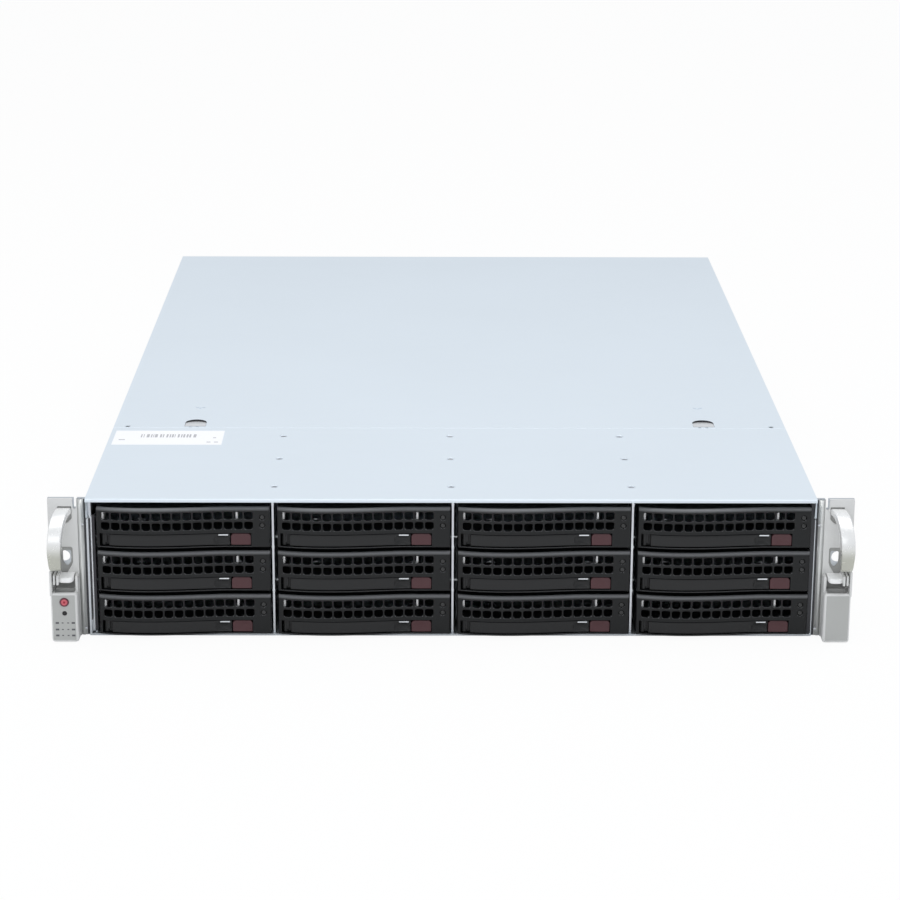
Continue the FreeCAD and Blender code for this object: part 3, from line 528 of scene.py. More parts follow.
def slab(shape, low, high, tone=0):
    """Adds a plain block between two corners and returns its vertices."""
    low, high = Vector(low), Vector(high)
    place = Matrix.Translation((low + high) / 2) @ Matrix.Diagonal((*(high - low), 1.0))
    verts = bmesh.ops.create_cube(shape, size=1.0, matrix=place)["verts"]
    for face in {face for vert in verts for face in vert.link_faces}:
        face.material_index = tone
    return verts


label = bmesh.new()
slab(label, (label_x0, label_y0, COVER_TOP), (label_x1, label_y1, paper_top))
bars = random.Random(4)
bar_x = bars_x0
while bar_x < bars_x1:
    bar_wide = bars.choice((0.5, 0.8, 1.2, 1.8))
    slab(label, (bar_x, bars_y0, paper_top), (bar_x + bar_wide, bars_y1, ink_top), 1)
    bar_x += bar_wide + bars.choice((0.6, 0.9, 1.5))
for dash_x, dash_y, dash_wide in ((3.5, 10.0, 4.0), (60.0, 5.0, 2.6), (64.8, 5.0, 2.6), (63.5, 14.5, 2.0)):
    slab(label, (label_x0 + dash_x, label_y0 + dash_y, paper_top),
         (label_x0 + dash_x + dash_wide, label_y0 + dash_y + dash_tall, ink_top), 1)
piece("cover_label", label, [PAPER, INK], "chassis")


# ------------------------------------------------------------- carrier bezels
# Front of a drive carrier: one satin black moulding, bowed outwards, with two
# rows of square air holes, two light pipes and a pocket for the latch lever.
# Twelve alike, clipped to the front of the steel trays.
CARRIERS = ["%02d" % number for number in range(1, 13)]

moulded, moulded_in, moulded_out = effect(
    "moulded_skin",
    [("Colour", "NodeSocketColor", (0.05, 0.05, 0.05, 1.0)),
     ("Roughness", "NodeSocketFloat", 0.45),
     ("Grain", "NodeSocketFloat", 0.1),
     ("Handling", "NodeSocketFloat", 0.1),
     ("Dust", "NodeSocketFloat", 0.0)],
    [("Colour", "NodeSocketColor"), ("Roughness", "NodeSocketFloat"),
     ("Height", "NodeSocketFloat")])

# Faces that look upwards are painted lighter, as dust and as a painted sheen where
# the overhead light falls on them, but not the floors of the holes, which look straight up.
facing = moulded.nodes.new("ShaderNodeNewGeometry")
facing_parts = moulded.nodes.new("ShaderNodeSeparateXYZ")
moulded.links.new(facing.outputs["Normal"], facing_parts.inputs["Vector"])
looks_upward = moulded.nodes.new("ShaderNodeMapRange")
looks_upward.inputs["From Min"].default_value = 0.2
looks_upward.inputs["From Max"].default_value = 0.7
moulded.links.new(facing_parts.outputs["Z"], looks_upward.inputs["Value"])
moulded.links.new(moulded_in.outputs["Dust"], looks_upward.inputs["To Max"])
sheltered = moulded.nodes.new("ShaderNodeMapRange")
sheltered.inputs["From Min"].default_value = 0.96
sheltered.inputs["From Max"].default_value = 0.995
sheltered.inputs["To Min"].default_value = 1.0
sheltered.inputs["To Max"].default_value = 0.0
moulded.links.new(facing_parts.outputs["Z"], sheltered.inputs["Value"])
open_dust_and_sheen = reckoned(moulded, "MULTIPLY", looks_upward.outputs["Result"], sheltered.outputs["Result"])
COLOUR_A, COLOUR_B, COLOUR_RESULT = 6, 7, 2
dust_and_sheen_mix = moulded.nodes.new("ShaderNodeMix")
dust_and_sheen_mix.data_type = "RGBA"
moulded.links.new(open_dust_and_sheen, dust_and_sheen_mix.inputs["Factor"])
moulded.links.new(moulded_in.outputs["Colour"], dust_and_sheen_mix.inputs[COLOUR_A])
dust_and_sheen_mix.inputs[COLOUR_B].default_value = (0.52, 0.53, 0.55, 1.0)
spark = noise_on(moulded, (1.0, 1.0, 1.0), 2600.0, 2.0)
touched = noise_on(moulded, (1.0, 1.0, 1.0), 55.0, 4.0)
grain_shade = around_zero(moulded, spark, moulded_in.outputs["Grain"])
touch_shade = around_zero(moulded, touched, moulded_in.outputs["Handling"])
moulded.links.new(shaded(moulded, dust_and_sheen_mix.outputs[COLOUR_RESULT], plus(moulded, grain_shade, touch_shade)),
                  moulded_out.inputs["Colour"])
moulded.links.new(plus(moulded, moulded_in.outputs["Roughness"], touch_shade),
                  moulded_out.inputs["Roughness"])
moulded.links.new(spark, moulded_out.inputs["Height"])

# Dust lightens the faces that look upwards: dust, and a painted sheen on the lit brow of the top row.
BLACK = finish("bezel_black", moulded, (0.0095, 0.010, 0.0105), 0.38, relief=0.10, gloss=0.28,
               Grain=0.25, Handling=0.12, Dust=0.30)

bezel_wide = 102.8
bezel_tall = 25.2
bezel_half = bezel_wide / 2
bezel_ends = -3.0
bezel_back = 16.0
bow_deep = 3.5
bow_wide = 75.4
front_wall = 2.2
bezel_lip = 0.7
brow = 2.8
side_wall = 1.6
hole_columns = 15
hole_wide, hole_high, hole_round = 5.2, 4.9, 1.1
hole_pitch = 6.1
row_pitch = 6.2
first_hole, top_hole = 2.2, 2.8
grille_x0 = -bezel_half + first_hole - (hole_pitch - hole_wide) / 2
grille_x1 = grille_x0 + hole_columns * hole_pitch
grille_z1 = bezel_tall - top_hole + (row_pitch - hole_high) / 2
grille_z0 = grille_z1 - 2 * row_pitch
pocket_top, pocket_foot, pocket_deep = 9.1, 0.9, 9.5
pocket_x0, pocket_x1 = -bezel_half + 1.1, bezel_half - 11.0
hole_edge, outer_edge = 0.22, 1.2


def soften(shape, edges, width, rounds=2):
    """Rounds edges off."""
    return bmesh.ops.bevel(shape, geom=list(edges), offset=width, offset_type="OFFSET",
                           affect="EDGES", segments=rounds, profile=0.5, material=-1,
                           clamp_overlap=True)


def upright_rectangle(x0, z0, x1, z1, y=0.0):
    """Corners of a rectangle that stands upright across the server."""
    return [(x0, y, z0), (x1, y, z0), (x1, y, z1), (x0, y, z1)]


def bow_at(x):
    """How far in front of the rack the front stands at x: bowed on the left, flat on the right."""
    along = min(max((x + bezel_half) / bow_wide, 0.0), 1.0)
    return bezel_ends - bow_deep * max(0.0, math.sin(math.pi * along ** 0.74)) ** 1.2


def bowed(shape, flat_back=None):
    """Bends a shape made flat at y = 0 to the bow; its back may stay flat."""
    for vert in shape.verts:
        if flat_back is None or vert.co.y < flat_back - 0.01:
            vert.co.y += bow_at(vert.co.x)


def frame_to_hole(shape, low, high, hole):
    """Fills between an upright rectangle and the hole in it."""
    sides = outline(shape, upright_rectangle(*low, *high))
    cut = bmesh.ops.subdivide_edges(shape, edges=sides, cuts=3)["geom_inner"]
    border = {vert for edge in sides for vert in edge.verts} | set(verts_in(cut))
    bmesh.ops.bridge_loops(shape, edges=edges_of(border) + hole)


def square_hole(shape, middle, wide, high, rounding):
    """Loop of 16 edges: a rectangle with three edges round each corner."""
    corners = [shape.verts.new((middle[0] + sx * wide / 2, 0.0, middle[1] + sz * high / 2))
               for sx, sz in ((-1, -1), (1, -1), (1, 1), (-1, 1))]
    face = shape.faces.new(corners)
    bmesh.ops.bevel(shape, geom=corners, offset=rounding, offset_type="OFFSET", affect="VERTICES",
                    segments=3, profile=0.5, material=-1)
    face = next(face for face in shape.faces
                if len(face.verts) == 16 and not any(len(edge.link_faces) > 1 for edge in face.edges))
    loop = face.edges[:]
    bmesh.ops.delete(shape, geom=[face], context="FACES_ONLY")
    return loop


def round_hole(shape, middle, radius):
    """Upright round loop of 16 edges."""
    upright = Matrix.Translation((middle[0], 0.0, middle[1])) @ Matrix.Rotation(math.radians(90.0), 4, "X")
    made = bmesh.ops.create_circle(shape, cap_ends=False, segments=16, radius=radius,
                                   matrix=upright @ Matrix.Rotation(math.radians(11.25), 4, "Z"))
    return edges_of(made["verts"])


def drawn_to(shape, axis, start, stop):
    """Draws the open edges at one coordinate out to another."""
    made = bmesh.ops.extrude_edge_only(shape, edges=rim_of(shape, axis, start))["geom"]
    for vert in verts_in(made):
        vert.co[axis] = stop


def pushed(shape, faces, y, keep=False):
    """Pushes a region of faces straight back to a plane."""
    made = bmesh.ops.extrude_face_region(shape, geom=faces)["geom"]
    for vert in verts_in(made):
        vert.co.y = y
    if not keep:
        bmesh.ops.delete(shape, geom=faces, context="FACES")


pipe_x0, pipe_x1, pipe_hole = bezel_half - 6.6, bezel_half - 2.3, 1.85
pipe_middles = [((pipe_x0 + pipe_x1) / 2, z) for z in (13.8, 18.9)]
pipe_bounds = (grille_z0, (grille_z0 + grille_z1) / 2, grille_z1)

front = bmesh.new()
hole_middle = (grille_x0 + hole_pitch / 2, grille_z0 + row_pitch / 2)
frame_to_hole(front, (grille_x0, grille_z0), (grille_x0 + hole_pitch, grille_z0 + row_pitch),
              square_hole(front, hole_middle, hole_wide, hole_high, hole_round))
cell = front.faces[:]
for column in range(hole_columns):
    for row in range(2):
        if column or row:
            twin = bmesh.ops.duplicate(front, geom=cell)["geom"]
            bmesh.ops.translate(front, vec=(column * hole_pitch, 0.0, row * row_pitch),
                                verts=verts_in(twin))
bmesh.ops.remove_doubles(front, verts=front.verts, dist=0.01)
drawn_to(front, 0, grille_x1, pipe_x0)
for level, middle in enumerate(pipe_middles):
    frame_to_hole(front, (pipe_x0, pipe_bounds[level]), (pipe_x1, pipe_bounds[level + 1]),
                  round_hole(front, middle, pipe_hole))
bmesh.ops.remove_doubles(front, verts=front.verts, dist=0.01)
drawn_to(front, 0, pipe_x1, bezel_half - side_wall)
drawn_to(front, 0, bezel_half - side_wall, bezel_half)
drawn_to(front, 0, grille_x0, pocket_x0)
drawn_to(front, 0, pocket_x0, -bezel_half - bezel_lip)
drawn_to(front, 2, grille_z1, bezel_tall - side_wall)
drawn_to(front, 2, bezel_tall - side_wall, bezel_tall)
drawn_to(front, 2, grille_z0, pocket_top)
drawn_to(front, 2, pocket_top, pocket_foot)
drawn_to(front, 2, pocket_foot, 0.0)
bmesh.ops.recalc_face_normals(front, faces=front.faces)
pushed(front, front.faces[:], front_wall, keep=True)
behind = [face for face in front.faces if all(vert.co.y > front_wall - 0.01 for vert in face.verts)]
edging = []
for face in behind:
    middle = face.calc_center_median()
    if middle.z < grille_z0 or middle.z > bezel_tall - side_wall or middle.x < pocket_x0 \
            or middle.x > bezel_half - side_wall:
        edging.append(face)
pushed(front, edging, bezel_back)
pocket = []
for face in front.faces:
    middle = face.calc_center_median()
    if all(vert.co.y < 0.01 for vert in face.verts) and pocket_foot < middle.z < pocket_top \
            and pocket_x0 < middle.x < pocket_x1:
        pocket.append(face)
pushed(front, pocket, pocket_deep)
bmesh.ops.recalc_face_normals(front, faces=front.faces)
hole_rims, outer_rims = [], []
for edge in front.edges:
    if all(vert.co.y < 0.01 for vert in edge.verts) \
            and any(abs(face.normal.y) < 0.5 for face in edge.link_faces):
        xs = [vert.co.x for vert in edge.verts]
        zs = [vert.co.z for vert in edge.verts]
        outside = min(zs) > bezel_tall - 0.01 or max(zs) < 0.01 or min(xs) > bezel_half - 0.01 \
            or max(xs) < -bezel_half - bezel_lip + 0.01
        (outer_rims if outside else hole_rims).append(edge)
soften(front, hole_rims, hole_edge, 1)
soften(front, [edge for edge in outer_rims if edge.is_valid], outer_edge, 3)
for vert in front.verts:
    rise = min(vert.co.z - bezel_tall + brow, brow)
    if rise > 0.0 and vert.co.y < outer_edge + 0.1:
        vert.co.y = max(vert.co.y, brow - math.sqrt(brow ** 2 - rise ** 2))
bowed(front, bezel_back)


def carrier_place(number):
    """Middle of a bezel's underside, in millimetres."""
    low, high = span("carrier_" + number)
    middle_x = high.x - bezel_half if high.x - low.x > bezel_wide else low.x + bezel_half
    return Vector((middle_x, 0.0, low.z))


def twelve(name, shape, finishes, body, stands_for=()):
    """Puts a copy of a shape at each carrier; the names get the carrier's number."""
    pattern = bpy.data.meshes.new(name + "pattern")
    shape.to_mesh(pattern)
    shape.free()
    for number in CARRIERS:
        copy = bmesh.new()
        copy.from_mesh(pattern)
        bmesh.ops.translate(copy, vec=carrier_place(number), verts=copy.verts)
        piece(name + number, copy, finishes, body + number, [node + number for node in stands_for])


twelve("bezel_", front, [BLACK], "carrier_", ["carrier_"])


# --------------------------------------------------------------- carrier trays
# Tray that holds the drive: one blank of zinc-coated steel with both sides
# folded up, holes for the drive's screws, and two sprung steel lugs behind the
# top row of air holes.  The lugs are painted near white and matt: a painted glint
# for the steel as it catches the light.
def soft_slab(shape, low, high, width, rounds=2, tone=0):
    """A block with all its edges rounded."""
    soften(shape, edges_of(slab(shape, low, high, tone)), width, rounds)


def folded_up(shape, half, radius):
    """Folds both sides of a flat blank up, with a round bend at +half and -half."""
    start = half - radius
    for step in range(5):
        bend_line = start + radius * math.radians(90.0) * step / 4
        cut_across(shape, 0, bend_line)
        cut_across(shape, 0, -bend_line)
    for vert in shape.verts:
        past = abs(vert.co.x) - start
        if past > 0.0:
            turn = min(past / radius, math.radians(90.0))
            side = math.copysign(1.0, vert.co.x)
            vert.co.z += radius * (1.0 - math.cos(turn)) + max(0.0, past - radius * math.radians(90.0))
            vert.co.x = side * (start + radius * math.sin(turn))


tray_half, tray_shift, tray_tall, tray_end, tray_bend = 51.9, -1.1, 19.0, 172.0, 1.6
tray_z, tray_sheet = 0.4, 0.8
tray_flat = tray_half - tray_bend + tray_bend * math.radians(90.0) + tray_tall - tray_z - tray_bend
slope_half, slope_end = tray_half - 4.0, 40.0
side_hole_x, floor_hole_x = tray_flat - 9.0, 30.0
blank = bmesh.new()
loops = outline(blank, [(-slope_half, bezel_back, tray_z), (slope_half, bezel_back, tray_z),
                        (tray_flat, slope_end, tray_z), (tray_flat, tray_end, tray_z),
                        (-tray_flat, tray_end, tray_z), (-tray_flat, slope_end, tray_z)])
for hole_y in (52.0, 92.0, 142.0):
    for hole_x in (-side_hole_x, side_hole_x):
        loops += ring(blank, (hole_x, hole_y, tray_z), radius=2.2, sides=14)
for hole_y in (45.0, 120.0):
    for hole_x in (-floor_hole_x, floor_hole_x):
        loops += ring(blank, (hole_x, hole_y, tray_z), radius=3.5, sides=16)
bmesh.ops.triangle_fill(blank, use_beauty=True, use_dissolve=False, edges=loops)
folded_up(blank, tray_half, tray_bend)
bmesh.ops.translate(blank, vec=(tray_shift, 0.0, 0.0), verts=blank.verts)
bmesh.ops.recalc_face_normals(blank, faces=blank.faces)
bmesh.ops.solidify(blank, geom=blank.faces[:], thickness=tray_sheet)
if min(vert.co.z for vert in blank.verts) < tray_z - 0.1:
    bmesh.ops.translate(blank, vec=(0.0, 0.0, tray_sheet), verts=blank.verts)
lug_half, lug_gap, lug_back, lug_z0, lug_z1 = 0.65, 0.15, 12.0, 16.4, 22.6
for lug_x in (-bezel_half + 3.0, -bezel_half + 83.0):
    soft_slab(blank, (lug_x - lug_half, bow_at(lug_x) + front_wall + lug_gap, lug_z0),
              (lug_x + lug_half, lug_back, lug_z1), 0.2, 1, 1)
BRIGHT = finish("bright_steel", rolled, (0.80, 0.82, 0.85), 0.30, metallic=0.8, relief=0.05,
                Cloud=0.06, Streak=0.08)
# Near white, not metal, for the lugs: painted glint of steel catching the light.
LUG_GLINT = finish("lug_painted_glint", rolled, (0.97, 0.97, 0.96), 0.35, relief=0.02, Cloud=0.02, Streak=0.02)
twelve("tray_", blank, [BRIGHT, LUG_GLINT], "carrier_")


# ---------------------------------------------------------------- latch levers
# Latch lever of a carrier: a black moulded bar that lies in the pocket of the
# bezel, turns on a round knuckle at its left end, and has a finger scoop at its
# right end under a small steel leaf.
pivot_x = pocket_x0 + 2.46
lever_x0, lever_x1 = -bezel_half + 6.8, 27.7
lever_z0, lever_z1 = 1.4, 8.6
lever_inset, lever_thick, lever_round = 0.6, 4.2, 0.55
scoop_wide, scoop_deep, scoop_top, scoop_tall = 10.0, 1.8, 7.2, 5.4
bar_cuts, scoop_cuts, scoop_levels = 12, 12, (2.6, 3.8, 5.0, 6.0, 6.9)
hinge_y, knuckle_radius = -0.47, 1.6
bar = bmesh.new()
verts = slab(bar, (lever_x0, 0.0, lever_z0), (lever_x1, lever_thick, lever_z1))
soften(bar, edges_of(verts), lever_round, 2)
for cut in range(1, bar_cuts + 1):
    cut_across(bar, 0, lever_x0 + cut * (lever_x1 - scoop_wide - lever_x0) / bar_cuts)
for cut in range(1, scoop_cuts):
    cut_across(bar, 0, lever_x1 - scoop_wide + cut * scoop_wide / scoop_cuts)
for level in scoop_levels:
    cut_across(bar, 2, level)
for vert in bar.verts:
    along = (vert.co.x - lever_x1 + scoop_wide) / scoop_wide
    up = (scoop_top - vert.co.z) / scoop_tall
    if vert.co.y < 1.0 and 0.0 < along < 0.97 and 0.0 < up < 0.98:
        vert.co.y += scoop_deep * (math.sin(math.pi * along) * math.sin(math.pi * up)) ** 0.5
bmesh.ops.translate(bar, vec=(0.0, lever_inset, 0.0), verts=bar.verts)
bowed(bar)
rib_x = -bezel_half + 4.8
soft_slab(bar, (pivot_x + 0.6, hinge_y - 0.8, lever_z0), (lever_x0 + 2.0, hinge_y + 1.2, lever_z1), 0.3, 1)
soft_slab(bar, (rib_x - 0.7, hinge_y - 1.9, lever_z0 + 1.6), (rib_x + 0.7, hinge_y + 1.0, lever_z1), 0.3, 2)
knuckle = bmesh.ops.create_circle(bar, cap_ends=True, segments=24, radius=knuckle_radius,
                                  matrix=Matrix.Translation((pivot_x, hinge_y, lever_z0)))
base = knuckle["verts"][0].link_faces[0]
grown = bmesh.ops.extrude_face_region(bar, geom=[base])["geom"]
bmesh.ops.translate(bar, vec=(0.0, 0.0, lever_z1 - lever_z0), verts=verts_in(grown))
leaf_x0, leaf_x1 = lever_x1 - 7.2, lever_x1 - 1.2
leaf_y = bow_at(lever_x1 - 5.0) + lever_inset
soft_slab(bar, (leaf_x0, leaf_y - 0.15, lever_z1 - 1.25),
          (leaf_x1, leaf_y + 1.2, lever_z1 - 0.35), 0.15, 1, 1)
LEVER = finish("lever_black", moulded, (0.020, 0.020, 0.0205), 0.34, relief=0.08, gloss=0.28,
               Grain=0.2, Handling=0.15)
twelve("lever_bar_", bar, [LEVER, BRIGHT], "lever_", ["lever_"])


# ------------------------------------------------------------- release buttons
# Maroon button that lets the lever go: a small moulded cap with a dished front
# and two cut top corners, held in the bezel beside the lever.
button_x0, button_x1, button_deep, button_dish = 28.1, 40.1, 5.5, 0.5
corner_cut, button_round, button_cuts = 1.3, 0.45, 8
cap = bmesh.new()
verts = slab(cap, (button_x0, 0.0, lever_z0), (button_x1, button_deep, lever_z1))
top_corners = [edge for edge in edges_of(verts) if all(vert.co.z > lever_z1 - 0.01 for vert in edge.verts)
               and abs(edge.verts[0].co.y - edge.verts[1].co.y) > 1.0]
soften(cap, top_corners, corner_cut, 1)
soften(cap, cap.edges[:], button_round, 2)
for cut in range(1, button_cuts):
    cut_across(cap, 0, button_x0 + cut * (button_x1 - button_x0) / button_cuts)
    cut_across(cap, 2, lever_z0 + cut * (lever_z1 - lever_z0) / button_cuts)
for vert in cap.verts:
    across = (vert.co.x - button_x0) / (button_x1 - button_x0)
    up = (vert.co.z - lever_z0) / (lever_z1 - lever_z0)
    if vert.co.y < 0.01:
        vert.co.y += button_dish * math.sin(math.pi * across) * math.sin(math.pi * up)
bmesh.ops.translate(cap, vec=(0.0, lever_inset, 0.0), verts=cap.verts)
bowed(cap)
MAROON = finish("release_maroon", moulded, (0.085, 0.036, 0.040), 0.40, relief=0.06, gloss=0.3,
                Grain=0.15, Handling=0.12)
twelve("release_button_", cap, [MAROON], "button_", ["button_"])


# --------------------------------------------------------------- light guides
# Two clear light guides at the right end of each bezel: domed rods in the round
# holes, dark because nothing is lit.
PIPE = finish("light_pipe", moulded, (0.022, 0.022, 0.022), 0.15, relief=0.0, Grain=0.1, Handling=0.05)
guide_radius, guide_long, guide_inset = 1.72, 9.0, 0.95
guide = bmesh.new()
for guide_x, guide_z in pipe_middles:
    dome = bmesh.ops.create_uvsphere(guide, u_segments=20, v_segments=10, radius=guide_radius)["verts"]
    bmesh.ops.delete(guide, geom=[vert for vert in dome if vert.co.y > 0.01], context="VERTS")
    dome = [vert for vert in dome if vert.is_valid]
    for vert in dome:
        vert.co.y *= 0.5
    rod = drawn(guide, rim_of(guide, 1, 0.0), (0.0, guide_long, 0.0))
    bmesh.ops.edgeloop_fill(guide, edges=rod)
    every = [vert for vert in guide.verts if abs(vert.co.x) < 2.0 and abs(vert.co.z) < 2.0]
    bmesh.ops.translate(guide, vec=(guide_x, bow_at(guide_x) + guide_inset, guide_z), verts=every)
twelve("light_guides_", guide, [PIPE], "carrier_")


# ----------------------------------------------------------------- front plates
# Moulded, silver-painted plate over each steel rack ear, with a recess for the rack
# screw, a sunk foot under the grip and a pocket above the lower box.  The floors of
# both pockets, and a grey sheet laid just behind the screw recess, are painted shade.
SILVER = finish("silver_paint", moulded, (0.72, 0.72, 0.71), 0.33, metallic=0.12, relief=0.02,
                Grain=0.03, Handling=0.04)
# Flat grey for the floors of the plate's pockets and the sheet behind its screw recess: painted shade.
SHADE = finish("recess_painted_shade", moulded, (0.38, 0.38, 0.37), 0.5, relief=0.02, gloss=0.3,
               Grain=0.05, Handling=0.08)
SIDES = ("left", "right")
ear_in, ear_out, ear_tall, plate_thick = 223.6, 241.3, 87.0, 1.5
pocket_depth, shade_sheet_thick = 1.2, 0.5


def arched(middle_x, low_z, high_z, half, foot):
    """Points round an upright opening with a flat top that narrows to its foot."""
    shoulder = low_z + (high_z - low_z) * 0.45
    return [(middle_x + half, 0.0, high_z - 0.8), (middle_x + half - 0.8, 0.0, high_z),
            (middle_x - half + 0.8, 0.0, high_z), (middle_x - half, 0.0, high_z - 0.8),
            (middle_x - half, 0.0, shoulder), (middle_x - half * 0.86, 0.0, shoulder - 2.2),
            (middle_x - foot - 0.7, 0.0, low_z + 0.9), (middle_x - foot, 0.0, low_z),
            (middle_x + foot, 0.0, low_z), (middle_x + foot + 0.7, 0.0, low_z + 0.9),
            (middle_x + half * 0.86, 0.0, shoulder - 2.2), (middle_x + half, 0.0, shoulder)]


def pressed_plate(shape, outer, holes, sunk, thick, depth):
    """Upright plate with holes right through it and pockets pressed into its front."""
    through = outline(shape, outer)
    for hole in holes:
        through += outline(shape, hole)
    pockets = [outline(shape, pocket) for pocket in sunk]
    front_edges = through + [edge for pocket in pockets for edge in pocket]
    bmesh.ops.triangle_fill(shape, use_beauty=True, use_dissolve=False, edges=front_edges)
    back = drawn(shape, through, (0.0, thick, 0.0))
    bmesh.ops.triangle_fill(shape, use_beauty=True, use_dissolve=False, edges=back)
    for pocket in pockets:
        bottom = bmesh.ops.edgeloop_fill(shape, edges=drawn(shape, pocket, (0.0, depth, 0.0)))["faces"]
        # A pocket's floor takes the second finish, which on the front plates is painted shade.
        bottom[0].material_index = 1


def sided(shape, side):
    """Pieces are shaped for the right ear and mirrored for the left one."""
    if side == "left":
        bmesh.ops.scale(shape, vec=(-1.0, 1.0, 1.0), verts=shape.verts)
        bmesh.ops.reverse_faces(shape, faces=shape.faces)
    return shape


plate_outline = [(ear_in, 0.0, 0.0), (ear_out, 0.0, 0.0), (ear_out, 0.0, ear_tall - 0.6),
                 (ear_out - 0.6, 0.0, ear_tall), (226.5, 0.0, ear_tall), (226.2, 0.0, 81.2),
                 (225.7, 0.0, 80.5), (224.7, 0.0, 80.5), (224.2, 0.0, 81.2), (224.0, 0.0, ear_tall),
                 (ear_in, 0.0, ear_tall)]
screw_mouth = arched(232.45, 39.4, 56.7, 5.2, 0.9)
shade_sheet_mouth = arched(230.7, 44.6, 54.4, 2.5, 0.5)
grip_pocket = [(229.0, 0.0, 82.2), (227.0, 0.0, 82.2), (227.0, 0.0, 75.0), (227.4, 0.0, 74.0),
               (229.6, 0.0, 72.0), (231.2, 0.0, 71.4), (235.4, 0.0, 71.4), (235.4, 0.0, 82.2)]
low_pocket = [(225.7, 0.0, 37.4), (225.7, 0.0, 32.4), (226.4, 0.0, 31.1), (227.6, 0.0, 30.7),
              (236.9, 0.0, 30.7), (238.1, 0.0, 31.1), (238.8, 0.0, 32.4), (238.8, 0.0, 37.4)]
for side in SIDES:
    plate = bmesh.new()
    pressed_plate(plate, plate_outline, [screw_mouth], [grip_pocket, low_pocket], plate_thick, pocket_depth)
    piece("front_plate_" + side, sided(plate, side), [SILVER, SHADE], "chassis",
          [side + "_handle_housing"], crease=25.0)
    # Grey sheet just inside the screw recess, narrowing to a foot: painted shade for the depth of the
    # recess.
    shade_sheet = bmesh.new()
    pressed_plate(shade_sheet, screw_mouth, [shade_sheet_mouth], [], shade_sheet_thick, 0.0)
    bmesh.ops.translate(shade_sheet, vec=(0.0, plate_thick - shade_sheet_thick - 0.05, 0.0), verts=shade_sheet.verts)
    piece("screw_recess_shade_sheet_" + side, sided(shade_sheet, side), [SHADE], "chassis", crease=25.0)


# ------------------------------------------------------------------ bow handles
# Bow handle of each ear: a silver band that leaves the plate near its top, leans
# outwards as it bows, and comes back beside the nose of the lower box.  It is painted
# lighter than the plate's silver, as painted highlight, and darker and greyer below
# the middle of the bow, as painted shade; faint scuffs run over all of it.
scuffed_low_shade, scuffed_low_shade_in, scuffed_low_shade_out = effect(
    "scuffed_silver_low_shade",
    [("Colour", "NodeSocketColor", (0.9, 0.9, 0.9, 1.0)),
     ("Roughness", "NodeSocketFloat", 0.26),
     ("Low shade", "NodeSocketColor", (0.50, 0.50, 0.44, 1.0)),
     ("Low", "NodeSocketFloat", 0.056),
     ("High", "NodeSocketFloat", 0.068),
     ("Scuffs", "NodeSocketFloat", 0.25)],
    [("Colour", "NodeSocketColor"), ("Roughness", "NodeSocketFloat"),
     ("Height", "NodeSocketFloat")])
place = scuffed_low_shade.nodes.new("ShaderNodeTexCoord")
parts_of = scuffed_low_shade.nodes.new("ShaderNodeSeparateXYZ")
scuffed_low_shade.links.new(place.outputs["Object"], parts_of.inputs["Vector"])
# Below the middle of the bow the band turns to the darker colour: painted shade.
fade = scuffed_low_shade.nodes.new("ShaderNodeMapRange")
fade.interpolation_type = "SMOOTHSTEP"
scuffed_low_shade.links.new(parts_of.outputs["Z"], fade.inputs["Value"])
scuffed_low_shade.links.new(scuffed_low_shade_in.outputs["Low"], fade.inputs["From Min"])
scuffed_low_shade.links.new(scuffed_low_shade_in.outputs["High"], fade.inputs["From Max"])
tint = scuffed_low_shade.nodes.new("ShaderNodeMix")
tint.data_type = "RGBA"
scuffed_low_shade.links.new(fade.outputs["Result"], tint.inputs["Factor"])
scuffed_low_shade.links.new(scuffed_low_shade_in.outputs["Low shade"], tint.inputs[COLOUR_A])
scuffed_low_shade.links.new(scuffed_low_shade_in.outputs["Colour"], tint.inputs[COLOUR_B])
scuff = noise_on(scuffed_low_shade, (1.0, 1.0, 1.0), 420.0, 3.0)
scuff_shade = around_zero(scuffed_low_shade, scuff, scuffed_low_shade_in.outputs["Scuffs"])
scuffed_low_shade.links.new(shaded(scuffed_low_shade, tint.outputs[COLOUR_RESULT], scuff_shade), scuffed_low_shade_out.inputs["Colour"])
scuffed_low_shade.links.new(plus(scuffed_low_shade, scuffed_low_shade_in.outputs["Roughness"], scuff_shade), scuffed_low_shade_out.inputs["Roughness"])
scuffed_low_shade.links.new(scuff, scuffed_low_shade_out.inputs["Height"])
# Near-white silver, lighter than the plate's: painted highlight over the band.
GRIP_PAINTED_LIGHT = finish("grip_silver_painted_light_and_scuffs", scuffed_low_shade, (0.92, 0.92, 0.91), 0.26, metallic=0.35, relief=0.01,
              Scuffs=0.10)
grip_reach, grip_thick = 23.0, 4.2
band_mid_z = 61.4
upper_y, upper_turn = -2.804, 97.0
lower_y, lower_turn = 14.17, 15.0
foot_radius = 6.0
band_wide, band_round = 8.5, 0.9
root_x0, root_x1 = 227.1, 235.6
front_x0, front_x1 = 231.2, 239.5
foot_x0, foot_taper = 234.2, 0.06


def turned(shape, loop, centre_y, centre_z, angle, steps):
    """Spins a loop about an axis across the server; returns the loop it ends in."""
    end = bmesh.ops.spin(shape, geom=loop, cent=(0.0, centre_y, centre_z), axis=(1.0, 0.0, 0.0),
                         angle=math.radians(angle), steps=steps, use_duplicate=False)["geom_last"]
    return [item for item in end if isinstance(item, bmesh.types.BMEdge)]


